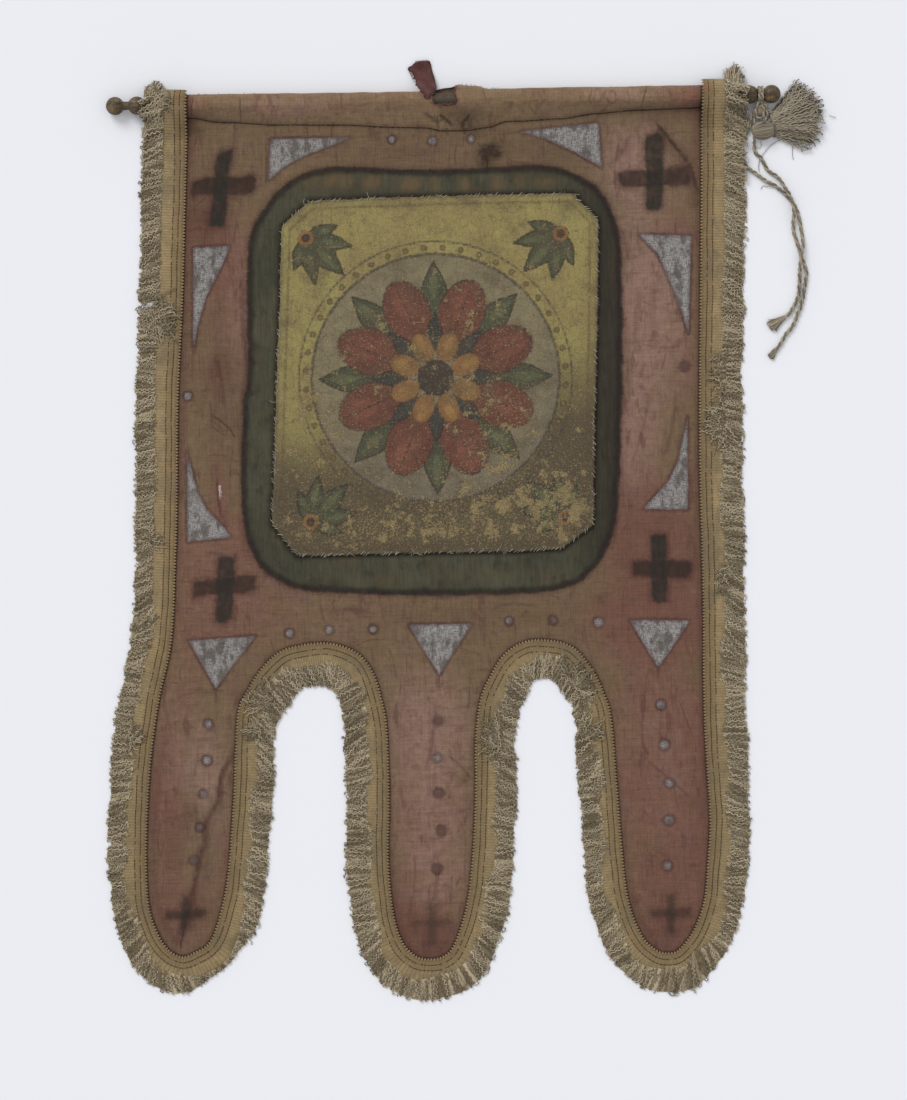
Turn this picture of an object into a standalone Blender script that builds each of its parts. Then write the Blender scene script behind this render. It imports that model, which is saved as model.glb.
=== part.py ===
"""Church banner with its rod, lying face up on a flat surface.

The model is in metres with +Z up. The rod runs along X, and the origin is on the underside of
the cloth, under the middle of the painted panel. Tables and sizes below are in millimetres, and
scaled() turns them into metres where a mesh is made.
"""
import math
from collections import namedtuple

import bmesh
import bpy
from mathutils import Matrix, Vector, geometry

MM = 0.001
GAP = 0.3               # clearance between pieces that touch

# Rod: a turned stick with two beads at each end
ROD_Y = 300.0
ROD_Z = 10.0
SHAFT_R = 7.5
BEAD_R = 10.0
OUTER_BEAD_X = 360.0
INNER_BEAD_X = 336.0
NECK_X = 348.0
NECK_R = 4.8
ROD_SIDES = 16

# Cloth: one sheet whose top is turned back round the rod as a sleeve
SHEET_T = 1.5
LAP = 12.0              # how far the cloth runs on under the trim
LEDGE = 14.5            # where the heading steps down beyond the cloth's edge
SHEET_CELL = 36.0
SLEEVE_CELLS = 22
EDGE_STEP = 18.0
CURVE_STEPS = 10        # points on a smooth curve between two of its given points
SLEEVE_BORE = 7.9       # inner radius of the sleeve over the rod
SEAM_LIFT = 1.9         # the front layer lies on the back layer's end at the seam
SEAM_RAMP = 14.0
LIP_Z = 4.0             # height at which the sleeve's far side turns under

# Painted panel: a separate canvas sewn on top
PANEL_T = 1.0
PANEL_CELL = 48.0

# Trim: a woven heading with fringe along its outer edge
HEADING_W = 27.0
HEADING_T = 1.4
HEADING_EDGE_T = 2.4
LOCK_PITCH = 18.0
LOCK_GAP = 5.0
TRIM_RISE = 42.0        # distance from the rod over which the trim climbs onto it
TRIM_CREST = 20.8
TRIM_CREST_HALF = 4.0
TRIM_FALL = 9.0         # drop of the trim's far end over TRIM_FALL_RUN
TRIM_FALL_RUN = 12.0
TIE_LIFT = 5.6          # fringe tips ride this high where a tie runs under them
TIE_NEAR = 9.0
TIE_FAR = 20.0
LOCK_DROOP = 0.6        # share of its height that a lock loses beside the rod
LOCK_MID = (0.5, 0.94, 2.2)     # share of the length, of the width, and thickness
LOCK_TIP = (1.0, 0.72, 1.5)

# Tie and tassel
CORD_D = 4.6
CORD_STEP = 11.0
RING_R = 7.6
RING_CORD_R = 2.1
TASSEL_TURN = math.radians(8.5)
TASSEL_AT = (351.5, 262.0)

# Visible edge of the cloth, where the trim's inner edge runs: down the left side, round the
# three tails and up the right side. Columns are x and y.
EDGE = {
    "left_top": ((-282, 316),),
    "left_side": ((-285, 242), (-287, 197), (-292, 87), (-299, -23), (-302, -133), (-305, -199),
                  (-311, -287), (-326, -353), (-336, -418), (-342, -495)),
    "left_tail": ((-343, -550), (-339, -589), (-325, -622), (-307, -636), (-290, -632),
                  (-271, -618), (-256, -574), (-249, -530), (-243, -464), (-240, -409)),
    "left_arch_rise": ((-236, -365), (-225, -343), (-211, -322), (-190, -303)),
    "left_arch_fall": ((-158, -295), (-130, -296), (-105, -307), (-90, -327), (-81, -357)),
    "middle_tail": ((-76, -390), (-75, -467), (-77, -533), (-73, -588), (-64, -622), (-48, -640),
                    (-32, -644), (-17, -641), (-4, -628), (11, -584), (19, -524), (23, -458),
                    (24, -403)),
    "right_arch_rise": ((30, -359), (42, -332), (57, -310), (79, -297)),
    "right_arch_fall": ((106, -296), (131, -304), (150, -326), (163, -353)),
    "right_tail": ((171, -384), (176, -461), (180, -527), (186, -582), (200, -621), (216, -638),
                   (230, -642), (243, -638), (260, -616), (272, -584), (277, -540), (280, -496)),
    "right_side": ((278, -441), (276, -386), (276, -320), (277, -254), (276, -121), (277, -33),
                   (280, 77), (283, 186)),
    "right_top": ((284, 242), (285, 318)),
}

# Sleeve seam across the front. Columns are x and y.
SEAM = ((-310, 286), (-277, 286), (-246, 281), (-180, 277), (-134, 276), (-23, 271), (2, 267),
        (24, 267), (48, 270), (70, 276), (128, 278), (168, 283), (212, 286), (310, 288))

# How far the sleeve's top edge stands beyond the rod's axis. Columns are x and reach.
NOSE = ((-310, 12.0), (-200, 11.5), (-100, 10.8), (-20, 10.6), (6, 15.0), (16, 17.0), (36, 15.5),
        (50, 12.2), (310, 12.0))

# Folds pressed into the lying cloth, each a soft ridge along its route
Fold = namedtuple("Fold", "name half_width height route")
FOLDS = (
    Fold("long fold of left tail", 15, 5.0,
         ((-256, -438), (-265, -460), (-278, -492), (-286, -532), (-296, -572), (-303, -600))),
    Fold("middle tail", 14, 3.5, ((-9, -419), (8, -440))),
    Fold("right tail, upper", 14, 4.0, ((200, -419), (235, -450), (256, -470))),
    Fold("right tail, tip", 12, 3.0, ((203, -600), (214, -614))),
    Fold("top right corner", 15, 4.0, ((236, 262), (262, 234), (272, 190))),
    Fold("pleat above panel", 12, 3.5, ((45, 248), (45, 214))),
    Fold("left side", 14, 3.0, ((-256, 31), (-246, -35))),
)

# Outline of the painted panel. Columns are x and y.
PANEL = ((-180, 166), (-149, 193), (-64, 195), (32, 196), (140, 196), (168, 167), (165, 60),
         (161, -36), (156, -169), (121, -194), (78, -196), (-28, -196), (-170, -197),
         (-197, -162), (-191, -55), (-184, 85))

# Trim pieces: from the start of one stretch of EDGE to the start of another
Trim = namedtuple("Trim", "node first after")
TRIMS = (
    Trim("trim_left_top", "left_top", "left_side"),
    Trim("trim_left_side", "left_side", "left_tail"),
    Trim("trim_left_tail", "left_tail", "left_arch_rise"),
    Trim("trim_left_arch_rise", "left_arch_rise", "left_arch_fall"),
    Trim("trim_left_arch_fall", "left_arch_fall", "middle_tail"),
    Trim("trim_middle_tail", "middle_tail", "right_arch_rise"),
    Trim("trim_right_arch_rise", "right_arch_rise", "right_arch_fall"),
    Trim("trim_right_arch_fall", "right_arch_fall", "right_tail"),
    Trim("trim_right_tail", "right_tail", "right_side"),
    Trim("trim_right_side", "right_side", "right_top"),
    Trim("trim_right_top", "right_top", None),
)

# Length of the fringe beyond the heading at the start and end of each stretch
Reach = namedtuple("Reach", "start end")
FRINGE = {
    "left_top": Reach(22, 21.5),
    "left_side": Reach(21.5, 15),
    "left_tail": Reach(13, 16),
    "left_arch_rise": Reach(19, 20),
    "left_arch_fall": Reach(20, 20),
    "middle_tail": Reach(20, 17),
    "right_arch_rise": Reach(17, 15),
    "right_arch_fall": Reach(15, 13),
    "right_tail": Reach(14, 17),
    "right_side": Reach(18, 21.5),
    "right_top": Reach(21.5, 22),
}

# Upright tufts at the top ends of the fringe: rings of one lock, root to tip
TuftRing = namedtuple("TuftRing", "x y z half_width thickness turn")
TOP_TUFTS = {
    "trim_left_top": (
        TuftRing(-316, 317, 14.5, 6.5, 2.6, 40), TuftRing(-318, 323, 10.0, 6.0, 2.6, 80),
        TuftRing(-320, 330, 6.0, 2.5, 1.6, 90)),
    "trim_right_top": (
        TuftRing(319, 317, 14.5, 6.5, 2.6, 40), TuftRing(322, 326, 9.0, 6.0, 2.6, 80),
        TuftRing(323, 341, 3.0, 2.4, 1.6, 90)),
}

# Tear in the sleeve and the flap torn from it. Flap columns: y, left x, right x, underside z.
TEAR = ((-12, 322), (-13, 306), (-10, 296), (-5, 293), (6, 292.5), (13, 295), (15, 303), (13, 322))
TEAR_Z = (5.5, 30.0)
FLAP_T = 1.2
FlapRow = namedtuple("FlapRow", "y left right z")
FLAP = (FlapRow(303.0, -21, -14, 17.9), FlapRow(307.0, -21, -13, 17.0),
        FlapRow(311.5, -24, -8, 14.6), FlapRow(317.0, -29, -9, 9.5), FlapRow(323.0, -31, -10, 4.6),
        FlapRow(331.0, -34, -11, 1.2), FlapRow(338.0, -38, -12, 0.2), FlapRow(343.5, -28, -13, 1.6))

# Tie ends, route points chosen by hand. Columns are x, y and z of the cord's middle.
TIE_LONG = ((341.0, 248.5, 3.6), (341.5, 238.0, 2.5), (348.5, 230.5, 2.5), (355.0, 218.0, 2.5),
            (366.5, 209.0, 3.4), (372.5, 199.0, 6.4), (377.5, 190.5, 7.4), (382.0, 178.0, 7.4),
            (382.6, 168.5, 6.8), (382.0, 158.0, 3.4), (382.8, 148.0, 2.5), (387.0, 134.0, 2.5),
            (390.6, 121.0, 2.5), (394.4, 111.0, 2.5), (395.8, 103.0, 2.5), (393.6, 90.0, 2.5),
            (391.6, 78.0, 2.5), (388.6, 67.0, 2.5), (384.8, 58.0, 2.5), (379.6, 46.0, 2.5),
            (371.0, 35.5, 2.5), (365.5, 26.0, 2.5), (360.0, 19.5, 2.5))
TIE_SHORT = ((341.5, 275.5, 6.0), (337.0, 267.5, 3.4), (331.5, 257.0, 2.5), (326.0, 246.0, 2.5),
             (325.5, 233.0, 2.5), (332.0, 222.0, 2.5), (343.0, 213.5, 2.5), (352.5, 206.0, 2.5),
             (362.0, 201.0, 2.5), (370.5, 194.0, 2.5), (378.0, 186.5, 2.5), (384.6, 177.0, 2.5),
             (388.6, 165.0, 2.5), (390.6, 152.0, 2.5), (392.2, 139.0, 4.0), (391.4, 129.0, 6.6),
             (389.6, 120.0, 7.4), (388.4, 110.5, 5.6), (388.2, 101.0, 2.8), (387.6, 90.0, 2.5),
             (386.0, 78.0, 2.5), (381.6, 68.5, 2.5), (377.6, 61.6, 2.5), (373.6, 57.6, 2.5),
             (369.6, 54.9, 2.5))

# Frayed ends of the ties. Columns: root, tip, root radius, tip half width, tip half height
Brush = namedtuple("Brush", "node root tip root_r tip_w tip_h")
BRUSHES = (
    Brush("tie_long_end", (359.7, 19.15), (353.6, 11.8), 2.2, 3.6, 2.4),
    Brush("tie_short_end", (369.2, 54.62), (354.0, 45.5), 2.2, 6.5, 2.6),
)

Finish = namedtuple("Finish", "colour roughness")
FINISHES = {
    "faded_cloth": Finish((0.19, 0.115, 0.075), 0.92),
    "painted_canvas": Finish((0.30, 0.22, 0.10), 0.75),
    "trim_yarn": Finish((0.33, 0.27, 0.17), 0.9),
    "old_wood": Finish((0.07, 0.052, 0.028), 0.55),
    "cord_yarn": Finish((0.29, 0.26, 0.21), 0.9),
}


def clear_scene():
    """Remove whatever objects the open file holds."""
    for item in list(bpy.data.objects):
        bpy.data.objects.remove(item, do_unlink=True)


def new_collection(name):
    """Return a new collection linked to the scene."""
    collection = bpy.data.collections.new(name)
    bpy.context.scene.collection.children.link(collection)
    return collection


def new_material(slot):
    """Return a Principled material in the colour and roughness of one finish."""
    finish = FINISHES[slot]
    material = bpy.data.materials.new(slot)
    material.use_nodes = True
    shader = material.node_tree.nodes["Principled BSDF"]
    shader.inputs["Base Color"].default_value = (*finish.colour, 1.0)
    shader.inputs["Roughness"].default_value = finish.roughness
    shader.inputs["Metallic"].default_value = 0.0
    material.diffuse_color = (*finish.colour, 1.0)
    return material


def scaled(x, y, z=0.0):
    """A point given in millimetres, in metres."""
    return Vector((x * MM, y * MM, z * MM))


def smooth_step(t):
    """Ease from 0 to 1 as t goes from 0 to 1."""
    t = min(1.0, max(0.0, t))
    return t * t * (3.0 - 2.0 * t)


def table_value(rows, x):
    """Read a two-column table at x, eased between its rows."""
    for (x0, v0), (x1, v1) in zip(rows, rows[1:]):
        if x <= x1:
            return v0 + (v1 - v0) * smooth_step((x - x0) / (x1 - x0))
    return rows[-1][1]


def smooth_curve(points, steps=CURVE_STEPS):
    """Points along the Catmull-Rom curve through the given 2-D or 3-D points."""
    knots = [Vector(p) for p in points]
    first = knots[0] * 2.0 - knots[1]
    last = knots[-1] * 2.0 - knots[-2]
    knots = [first] + knots + [last]
    curve = []
    for a, b, c, d in zip(knots, knots[1:], knots[2:], knots[3:]):
        for i in range(steps):
            t = i / steps
            curve.append(0.5 * (2.0 * b + (c - a) * t + (2.0 * a - 5.0 * b + 4.0 * c - d) * t * t
                                + (3.0 * b - a - 3.0 * c + d) * t * t * t))
    curve.append(knots[-2].copy())
    return curve


def lengths_along(curve):
    """Distance from the start to each point of a polyline."""
    lengths = [0.0]
    for a, b in zip(curve, curve[1:]):
        lengths.append(lengths[-1] + (b - a).length)
    return lengths


def point_at(curve, lengths, s):
    """Point and unit direction at distance s along a polyline."""
    for i in range(1, len(curve)):
        if s <= lengths[i] or i == len(curve) - 1:
            span = lengths[i] - lengths[i - 1]
            part = (s - lengths[i - 1]) / span
            return curve[i - 1].lerp(curve[i], part), (curve[i] - curve[i - 1]).normalized()


def spaced(curve, step):
    """The polyline again, with points about one step apart."""
    lengths = lengths_along(curve)
    count = max(2, round(lengths[-1] / step))
    return [point_at(curve, lengths, lengths[-1] * i / count)[0] for i in range(count + 1)]


def distance_to(route, x, y):
    """Distance in plan from a point to a polyline."""
    best = 1e9
    here = Vector((x, y))
    for a, b in zip(route, route[1:]):
        a2 = Vector((a[0], a[1]))
        along = Vector((b[0], b[1])) - a2
        part = min(1.0, max(0.0, (here - a2).dot(along) / along.length_squared))
        best = min(best, (here - a2 - along * part).length)
    return best


def inside(outline, x, y):
    """True where a point is inside a closed outline."""
    crossings = 0
    for a, b in zip(outline, list(outline[1:]) + [outline[0]]):
        if (a[1] > y) != (b[1] > y) and x < a[0] + (b[0] - a[0]) * (y - a[1]) / (b[1] - a[1]):
            crossings += 1
    return crossings % 2 == 1


def turned(vector, angle):
    """A plan direction turned anticlockwise."""
    return Vector((vector.x * math.cos(angle) - vector.y * math.sin(angle),
                   vector.x * math.sin(angle) + vector.y * math.cos(angle)))


def outward(direction):
    """Plan normal on the trim's side of the cloth edge, which runs with the cloth on its left."""
    return Vector((direction.y, -direction.x))


EDGE_CURVE = smooth_curve([p for stretch in EDGE.values() for p in stretch])
EDGE_LENGTHS = lengths_along(EDGE_CURVE)


def stretch_start(name):
    """Distance along the edge at which a stretch of EDGE starts."""
    if name is None:
        return EDGE_LENGTHS[-1]
    before = 0
    for key, rows in EDGE.items():
        if key == name:
            return EDGE_LENGTHS[before * CURVE_STEPS]
        before += len(rows)


def fringe_reach(s):
    """Fringe length at distance s along the edge."""
    names = list(EDGE)
    for name, following in zip(names, names[1:] + [None]):
        start, end = stretch_start(name), stretch_start(following)
        if s <= end:
            reach = FRINGE[name]
            return reach.start + (reach.end - reach.start) * (s - start) / (end - start)
    return FRINGE[names[-1]].end


def cloth_edge():
    """Outline of the sheet below the sleeve: the visible edge moved out by the lap."""
    points = []
    count = round(EDGE_LENGTHS[-1] / EDGE_STEP)
    for i in range(count + 1):
        place, direction = point_at(EDGE_CURVE, EDGE_LENGTHS, EDGE_LENGTHS[-1] * i / count)
        point = place + outward(direction) * LAP
        if point.y < table_value(SEAM, point.x) - 10.0:
            points.append(point)
    return points


LOWER_EDGE = cloth_edge()
SLEEVE_LEFT = LOWER_EDGE[0].x
SLEEVE_RIGHT = LOWER_EDGE[-1].x


def cloth_lift(x, y):
    """Height of the sheet's underside over the surface that it lies on."""
    seam = table_value(SEAM, x)
    lift = SEAM_LIFT * smooth_step((y - seam + SEAM_RAMP) / (SEAM_RAMP - 3.0))
    if y < seam - 1.0:
        edge_fade = smooth_step((distance_to(LOWER_EDGE, x, y) - LAP) / 12.0)
        if edge_fade > 0.0:
            for fold in FOLDS:
                near = distance_to(fold.route, x, y) / fold.half_width
                if near < 1.0:
                    lift += edge_fade * fold.height * (1.0 - near * near) ** 2
    return lift


def trim_support(x, y):
    """Height of what the trim lies on beyond the cloth: the surface, the rod or a tie."""
    off = y - ROD_Y
    if off > TRIM_CREST_HALF:
        rise = TRIM_CREST - TRIM_FALL * ((off - TRIM_CREST_HALF) / TRIM_FALL_RUN) ** 2
        return max(0.0, rise)
    rise = TRIM_CREST * smooth_step((off + TRIM_RISE) / (TRIM_RISE - TRIM_CREST_HALF))
    if x > 300.0 and y > 200.0:
        near = distance_to(TIE_SHORT[1:8], x, y)
        rise = max(rise, TIE_LIFT * smooth_step((TIE_FAR - near) / (TIE_FAR - TIE_NEAR)))
    return rise


def link_object(name, mesh, collection, material):
    """Put a mesh in the scene as a named object."""
    item = bpy.data.objects.new(name, mesh)
    collection.objects.link(item)
    item.data.materials.append(material)
    return item


def mesh_from(bm, name):
    """Turn a bmesh into a mesh and free it."""
    mesh = bpy.data.meshes.new(name)
    bm.to_mesh(mesh)
    bm.free()
    return mesh


def add_sheet_thickness(item, thickness):
    """Give an open surface its thickness on the side that its normals point to."""
    shell = item.modifiers.new("thickness", "SOLIDIFY")
    shell.thickness = thickness * MM
    shell.offset = 1.0
    shell.use_even_offset = True


def loft_cells(bm, rows):
    """Quads between neighbouring rows of vertices."""
    for row, following in zip(rows, rows[1:]):
        for i in range(len(row) - 1):
            bm.faces.new((row[i], row[i + 1], following[i + 1], following[i]))


def filled_surface(bm, outline, cell, margin, extra, height):
    """Triangulate an outline with extra points and a staggered lattice, at the given heights."""
    border = [Vector((p[0], p[1])) for p in outline]
    points = list(border)
    count = len(border)
    loop = border + [border[0]]
    low_x, high_x = min(p.x for p in points), max(p.x for p in points)
    low_y, high_y = min(p.y for p in points), max(p.y for p in points)
    inner = [Vector(p) for p in extra]
    row_step = cell * math.sqrt(0.75)
    for j in range(int((high_y - low_y) / row_step) + 1):
        for i in range(int((high_x - low_x) / cell) + 2):
            inner.append(Vector((low_x + (i + 0.5 * (j % 2)) * cell, low_y + j * row_step)))
    for i, point in enumerate(inner):
        spacing = margin if i < len(extra) else 0.45 * cell
        near_edge = distance_to(loop, point.x, point.y) < 0.8 * spacing
        crowded = any((point - other).length < 0.8 * spacing for other in points[count:])
        if inside(border, point.x, point.y) and not near_edge and not crowded:
            points.append(point)
    made = geometry.delaunay_2d_cdt(points, [], [list(range(count))], 1, 1e-6)
    verts = [bm.verts.new(scaled(p.x, p.y, height(p.x, p.y))) for p in made[0]]
    for face in made[2]:
        bm.faces.new([verts[i] for i in face])


def fold_points():
    """Points along each fold's ridge and its two feet, and where the trim's edge passes one."""
    points = []
    for fold in FOLDS:
        ridge = spaced(smooth_curve([Vector(p) for p in fold.route]), fold.half_width)
        for i, place in enumerate(ridge):
            ahead = ridge[min(i + 1, len(ridge) - 1)] - ridge[max(i - 1, 0)]
            side = outward(ahead.normalized()) * fold.half_width
            points += [place, place + side, place - side]
        for end, neighbour in ((ridge[0], ridge[1]), (ridge[-1], ridge[-2])):
            points.append(end + (end - neighbour).normalized() * fold.half_width)
    for place in spaced(EDGE_CURVE, EDGE_STEP):
        if any(distance_to(fold.route, place.x, place.y) < 3.0 * fold.half_width for fold in FOLDS):
            points.append(place)
    return points


def sleeve_section(x):
    """Inner side of the sleeve at x, from the seam over the rod and back under it."""
    seam = table_value(SEAM, x)
    drop = seam - ROD_Y
    start = Vector((drop, SEAM_LIFT))
    to_axis = Vector((0.0, ROD_Z)) - start
    tangent = math.asin(SLEEVE_BORE / to_axis.length)
    slope = math.atan2(to_axis.y, to_axis.x) + tangent
    points = [start]
    reach = to_axis.length * math.cos(tangent)
    points.append(start + Vector((math.cos(slope), math.sin(slope))) * reach * 0.55)
    first = slope + math.pi / 2.0
    for i in range(4):
        angle = first + (math.pi / 2.0 - first) * i / 3.0
        points.append(Vector((SLEEVE_BORE * math.cos(angle), ROD_Z + SLEEVE_BORE * math.sin(angle))))
    nose = table_value(NOSE, x) - SHEET_T
    for i in range(1, 5):
        angle = math.pi / 2.0 * i / 4.0
        points.append(Vector((nose * math.sin(angle), ROD_Z + SLEEVE_BORE * math.cos(angle))))
    turn = LIP_Z - SHEET_T
    for i in range(3):
        angle = math.pi / 2.0 * i / 2.0
        points.append(Vector((nose - turn + turn * math.cos(angle), LIP_Z - turn * math.sin(angle))))
    points.append(Vector((0.5 * drop, SHEET_T)))
    points.append(Vector((drop - 1.0, SHEET_T)))
    return [scaled(x, ROD_Y + p.x, p.y) for p in points]


def make_cloth(parts, cutters, material):
    """The banner's cloth with its sleeve, cut by the tear and joined to the torn flap."""
    bm = bmesh.new()
    width = SLEEVE_RIGHT - SLEEVE_LEFT
    stations = [SLEEVE_LEFT + width * i / SLEEVE_CELLS for i in range(SLEEVE_CELLS + 1)]
    seam_points = [Vector((x, table_value(SEAM, x))) for x in reversed(stations)]
    ramp_points = [Vector((x, table_value(SEAM, x) - SEAM_RAMP)) for x in stations[1:-1]]
    outline = LOWER_EDGE + seam_points
    marks = fold_points() + ramp_points
    filled_surface(bm, outline, SHEET_CELL, 0.36 * SHEET_CELL, marks, cloth_lift)
    rows = [[bm.verts.new(p) for p in sleeve_section(x)] for x in stations]
    loft_cells(bm, rows)
    bmesh.ops.remove_doubles(bm, verts=bm.verts, dist=0.00002)
    bmesh.ops.recalc_face_normals(bm, faces=bm.faces)
    lowest = min(bm.faces, key=lambda f: f.calc_center_median().y)
    if lowest.normal.z < 0.0:
        bmesh.ops.reverse_faces(bm, faces=bm.faces)
    cloth = link_object("cloth", mesh_from(bm, "cloth"), parts, material)
    add_sheet_thickness(cloth, SHEET_T)

    tear = plan_prism("tear_cutter", TEAR, TEAR_Z, cutters, material)
    cut = cloth.modifiers.new("tear", "BOOLEAN")
    cut.operation = "DIFFERENCE"
    cut.solver = "EXACT"
    cut.object = tear

    flap = make_flap(cutters, material)
    join = cloth.modifiers.new("flap", "BOOLEAN")
    join.operation = "UNION"
    join.solver = "EXACT"
    join.object = flap
    return cloth


def plan_prism(name, outline, heights, collection, material):
    """A closed prism over a plan outline, used for cutting."""
    bm = bmesh.new()
    base = bm.faces.new([bm.verts.new(scaled(x, y, heights[0])) for x, y in outline])
    raised = bmesh.ops.extrude_face_region(bm, geom=[base])
    moved = [v for v in raised["geom"] if isinstance(v, bmesh.types.BMVert)]
    bmesh.ops.translate(bm, verts=moved, vec=(0.0, 0.0, (heights[1] - heights[0]) * MM))
    bmesh.ops.recalc_face_normals(bm, faces=bm.faces)
    item = link_object(name, mesh_from(bm, name), collection, material)
    item.hide_render = True
    item.display_type = "WIRE"
    return item


def make_flap(collection, material):
    """The strip torn from the sleeve, thrown back over its top edge."""
    bm = bmesh.new()
    rows = []
    for row in FLAP:
        across = [row.left + (row.right - row.left) * i / 3.0 for i in range(4)]
        rows.append([bm.verts.new(scaled(x, row.y, row.z)) for x in across])
    loft_cells(bm, rows)
    bmesh.ops.recalc_face_normals(bm, faces=bm.faces)
    if sum(face.normal.z for face in bm.faces) < 0.0:
        bmesh.ops.reverse_faces(bm, faces=bm.faces)
    item = link_object("flap_joiner", mesh_from(bm, "flap_joiner"), collection, material)
    add_sheet_thickness(item, FLAP_T)
    item.hide_render = True
    item.display_type = "WIRE"
    return item


def make_panel(parts, material):
    """The painted canvas, flat on the cloth."""
    bm = bmesh.new()
    base = SHEET_T + GAP
    filled_surface(bm, PANEL, PANEL_CELL, PANEL_CELL, [], lambda x, y: base)
    bmesh.ops.recalc_face_normals(bm, faces=bm.faces)
    if sum(face.normal.z for face in bm.faces) < 0.0:
        bmesh.ops.reverse_faces(bm, faces=bm.faces)
    panel = link_object("painted_panel", mesh_from(bm, "painted_panel"), parts, material)
    add_sheet_thickness(panel, PANEL_T)


def rod_profile():
    """Half outline of the rod as radius and place along it, from one tip to the other."""
    at_neck = math.asin(NECK_R / BEAD_R)
    at_shaft = math.pi - math.asin(SHAFT_R / BEAD_R)
    half = [(0.0, OUTER_BEAD_X + BEAD_R)]
    for i in range(1, 7):
        angle = (math.pi - at_neck) * i / 6.0
        half.append((BEAD_R * math.sin(angle), OUTER_BEAD_X + BEAD_R * math.cos(angle)))
    half.append((NECK_R, NECK_X))
    for i in range(6):
        angle = at_neck + (at_shaft - at_neck) * i / 5.0
        half.append((BEAD_R * math.sin(angle), INNER_BEAD_X + BEAD_R * math.cos(angle)))
    return half + [(r, -along) for r, along in reversed(half)]


def make_rod(parts, material):
    """The turned wooden rod, lying on its beads."""
    bm = bmesh.new()
    verts = [bm.verts.new(scaled(r, 0.0, along)) for r, along in rod_profile()]
    for a, b in zip(verts, verts[1:]):
        bm.edges.new((a, b))
    rod = link_object("rod", mesh_from(bm, "rod"), parts, material)
    screw = rod.modifiers.new("turned", "SCREW")
    screw.angle = math.tau
    screw.steps = ROD_SIDES
    screw.render_steps = ROD_SIDES
    screw.use_merge_vertices = True
    screw.merge_threshold = 0.00002
    rod.rotation_euler = (0.0, math.pi / 2.0, 0.0)
    rod.location = scaled(0.0, ROD_Y, ROD_Z)


def edge_frame(s):
    """Point at distance s along the edge, and its direction evened out over a short run."""
    place, here = point_at(EDGE_CURVE, EDGE_LENGTHS, s)
    before = point_at(EDGE_CURVE, EDGE_LENGTHS, max(0.0, s - 8.0))[1]
    after = point_at(EDGE_CURVE, EDGE_LENGTHS, min(EDGE_LENGTHS[-1], s + 8.0))[1]
    return place, (before + here + after).normalized()


def trim_ring(place, out):
    """The six corners of the heading's section at one place on the edge."""
    lap_x, lap_y = place + out * LEDGE
    rim_x, rim_y = place + out * HEADING_W
    ledge_support = trim_support(lap_x, lap_y)
    rim_support = trim_support(rim_x, rim_y)
    inner_base = max(SHEET_T + GAP, trim_support(place.x, place.y) + GAP)
    ledge_base = max(SHEET_T + GAP, ledge_support + GAP)
    return [
        scaled(place.x, place.y, inner_base),
        scaled(place.x, place.y, inner_base + HEADING_T),
        scaled(rim_x, rim_y, rim_support + HEADING_EDGE_T),
        scaled(rim_x, rim_y, rim_support),
        scaled(lap_x, lap_y, ledge_support),
        scaled(lap_x, lap_y, ledge_base),
    ]


def lock_rings(root, out, across, reach, sway, spread):
    """Middle, across direction, half width, base height and thickness along one lock."""
    rings = []
    for part, taper, thickness in (LOCK_MID, LOCK_TIP):
        turn = sway * part
        half_width = 0.5 * taper * (spread[0] + (spread[1] - spread[0]) * part)
        middle = root + turned(out, turn * 0.6) * reach * part
        base = trim_support(middle.x, middle.y)
        beside_rod = smooth_step((abs(middle.y - ROD_Y) - 10.0) / 8.0)
        if abs(middle.x) > 300.0 and middle.y > ROD_Y - TRIM_RISE:
            base *= 1.0 - LOCK_DROOP * part * beside_rod
        rings.append((middle, turned(across, turn), half_width, base, thickness))
    return rings


def extrude_ring(bm, ring, corners):
    """Continue a four-cornered tube from one ring of vertices to the next."""
    following = [bm.verts.new(c) for c in corners]
    for i in range(4):
        bm.faces.new((ring[i], ring[(i + 1) % 4], following[(i + 1) % 4], following[i]))
    return following


def grow_lock(bm, ring, sections):
    """Grow one lock of fringe from four corners of its backing and close its tip."""
    for middle, across, half_width, base, thickness in sections:
        a = middle - across * half_width
        b = middle + across * half_width
        ring = extrude_ring(bm, ring, [scaled(a.x, a.y, base + thickness),
                                       scaled(b.x, b.y, base + thickness),
                                       scaled(b.x, b.y, base), scaled(a.x, a.y, base)])
    bm.faces.new(ring)


def sway_of(index):
    """A lean of one lock that varies unevenly along the fringe, in radians."""
    return 0.16 * math.sin(1.7 * index) + 0.12 * math.sin(4.3 * index + 1.0)


def tuft_sections(rows):
    """Sections of an upright tuft from its table."""
    sections = []
    for row in rows:
        angle = math.radians(row.turn)
        across = Vector((-math.sin(angle), math.copysign(math.cos(angle), row.x)))
        sections.append((Vector((row.x, row.y)), across, row.half_width, row.z, row.thickness))
    return sections


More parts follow.
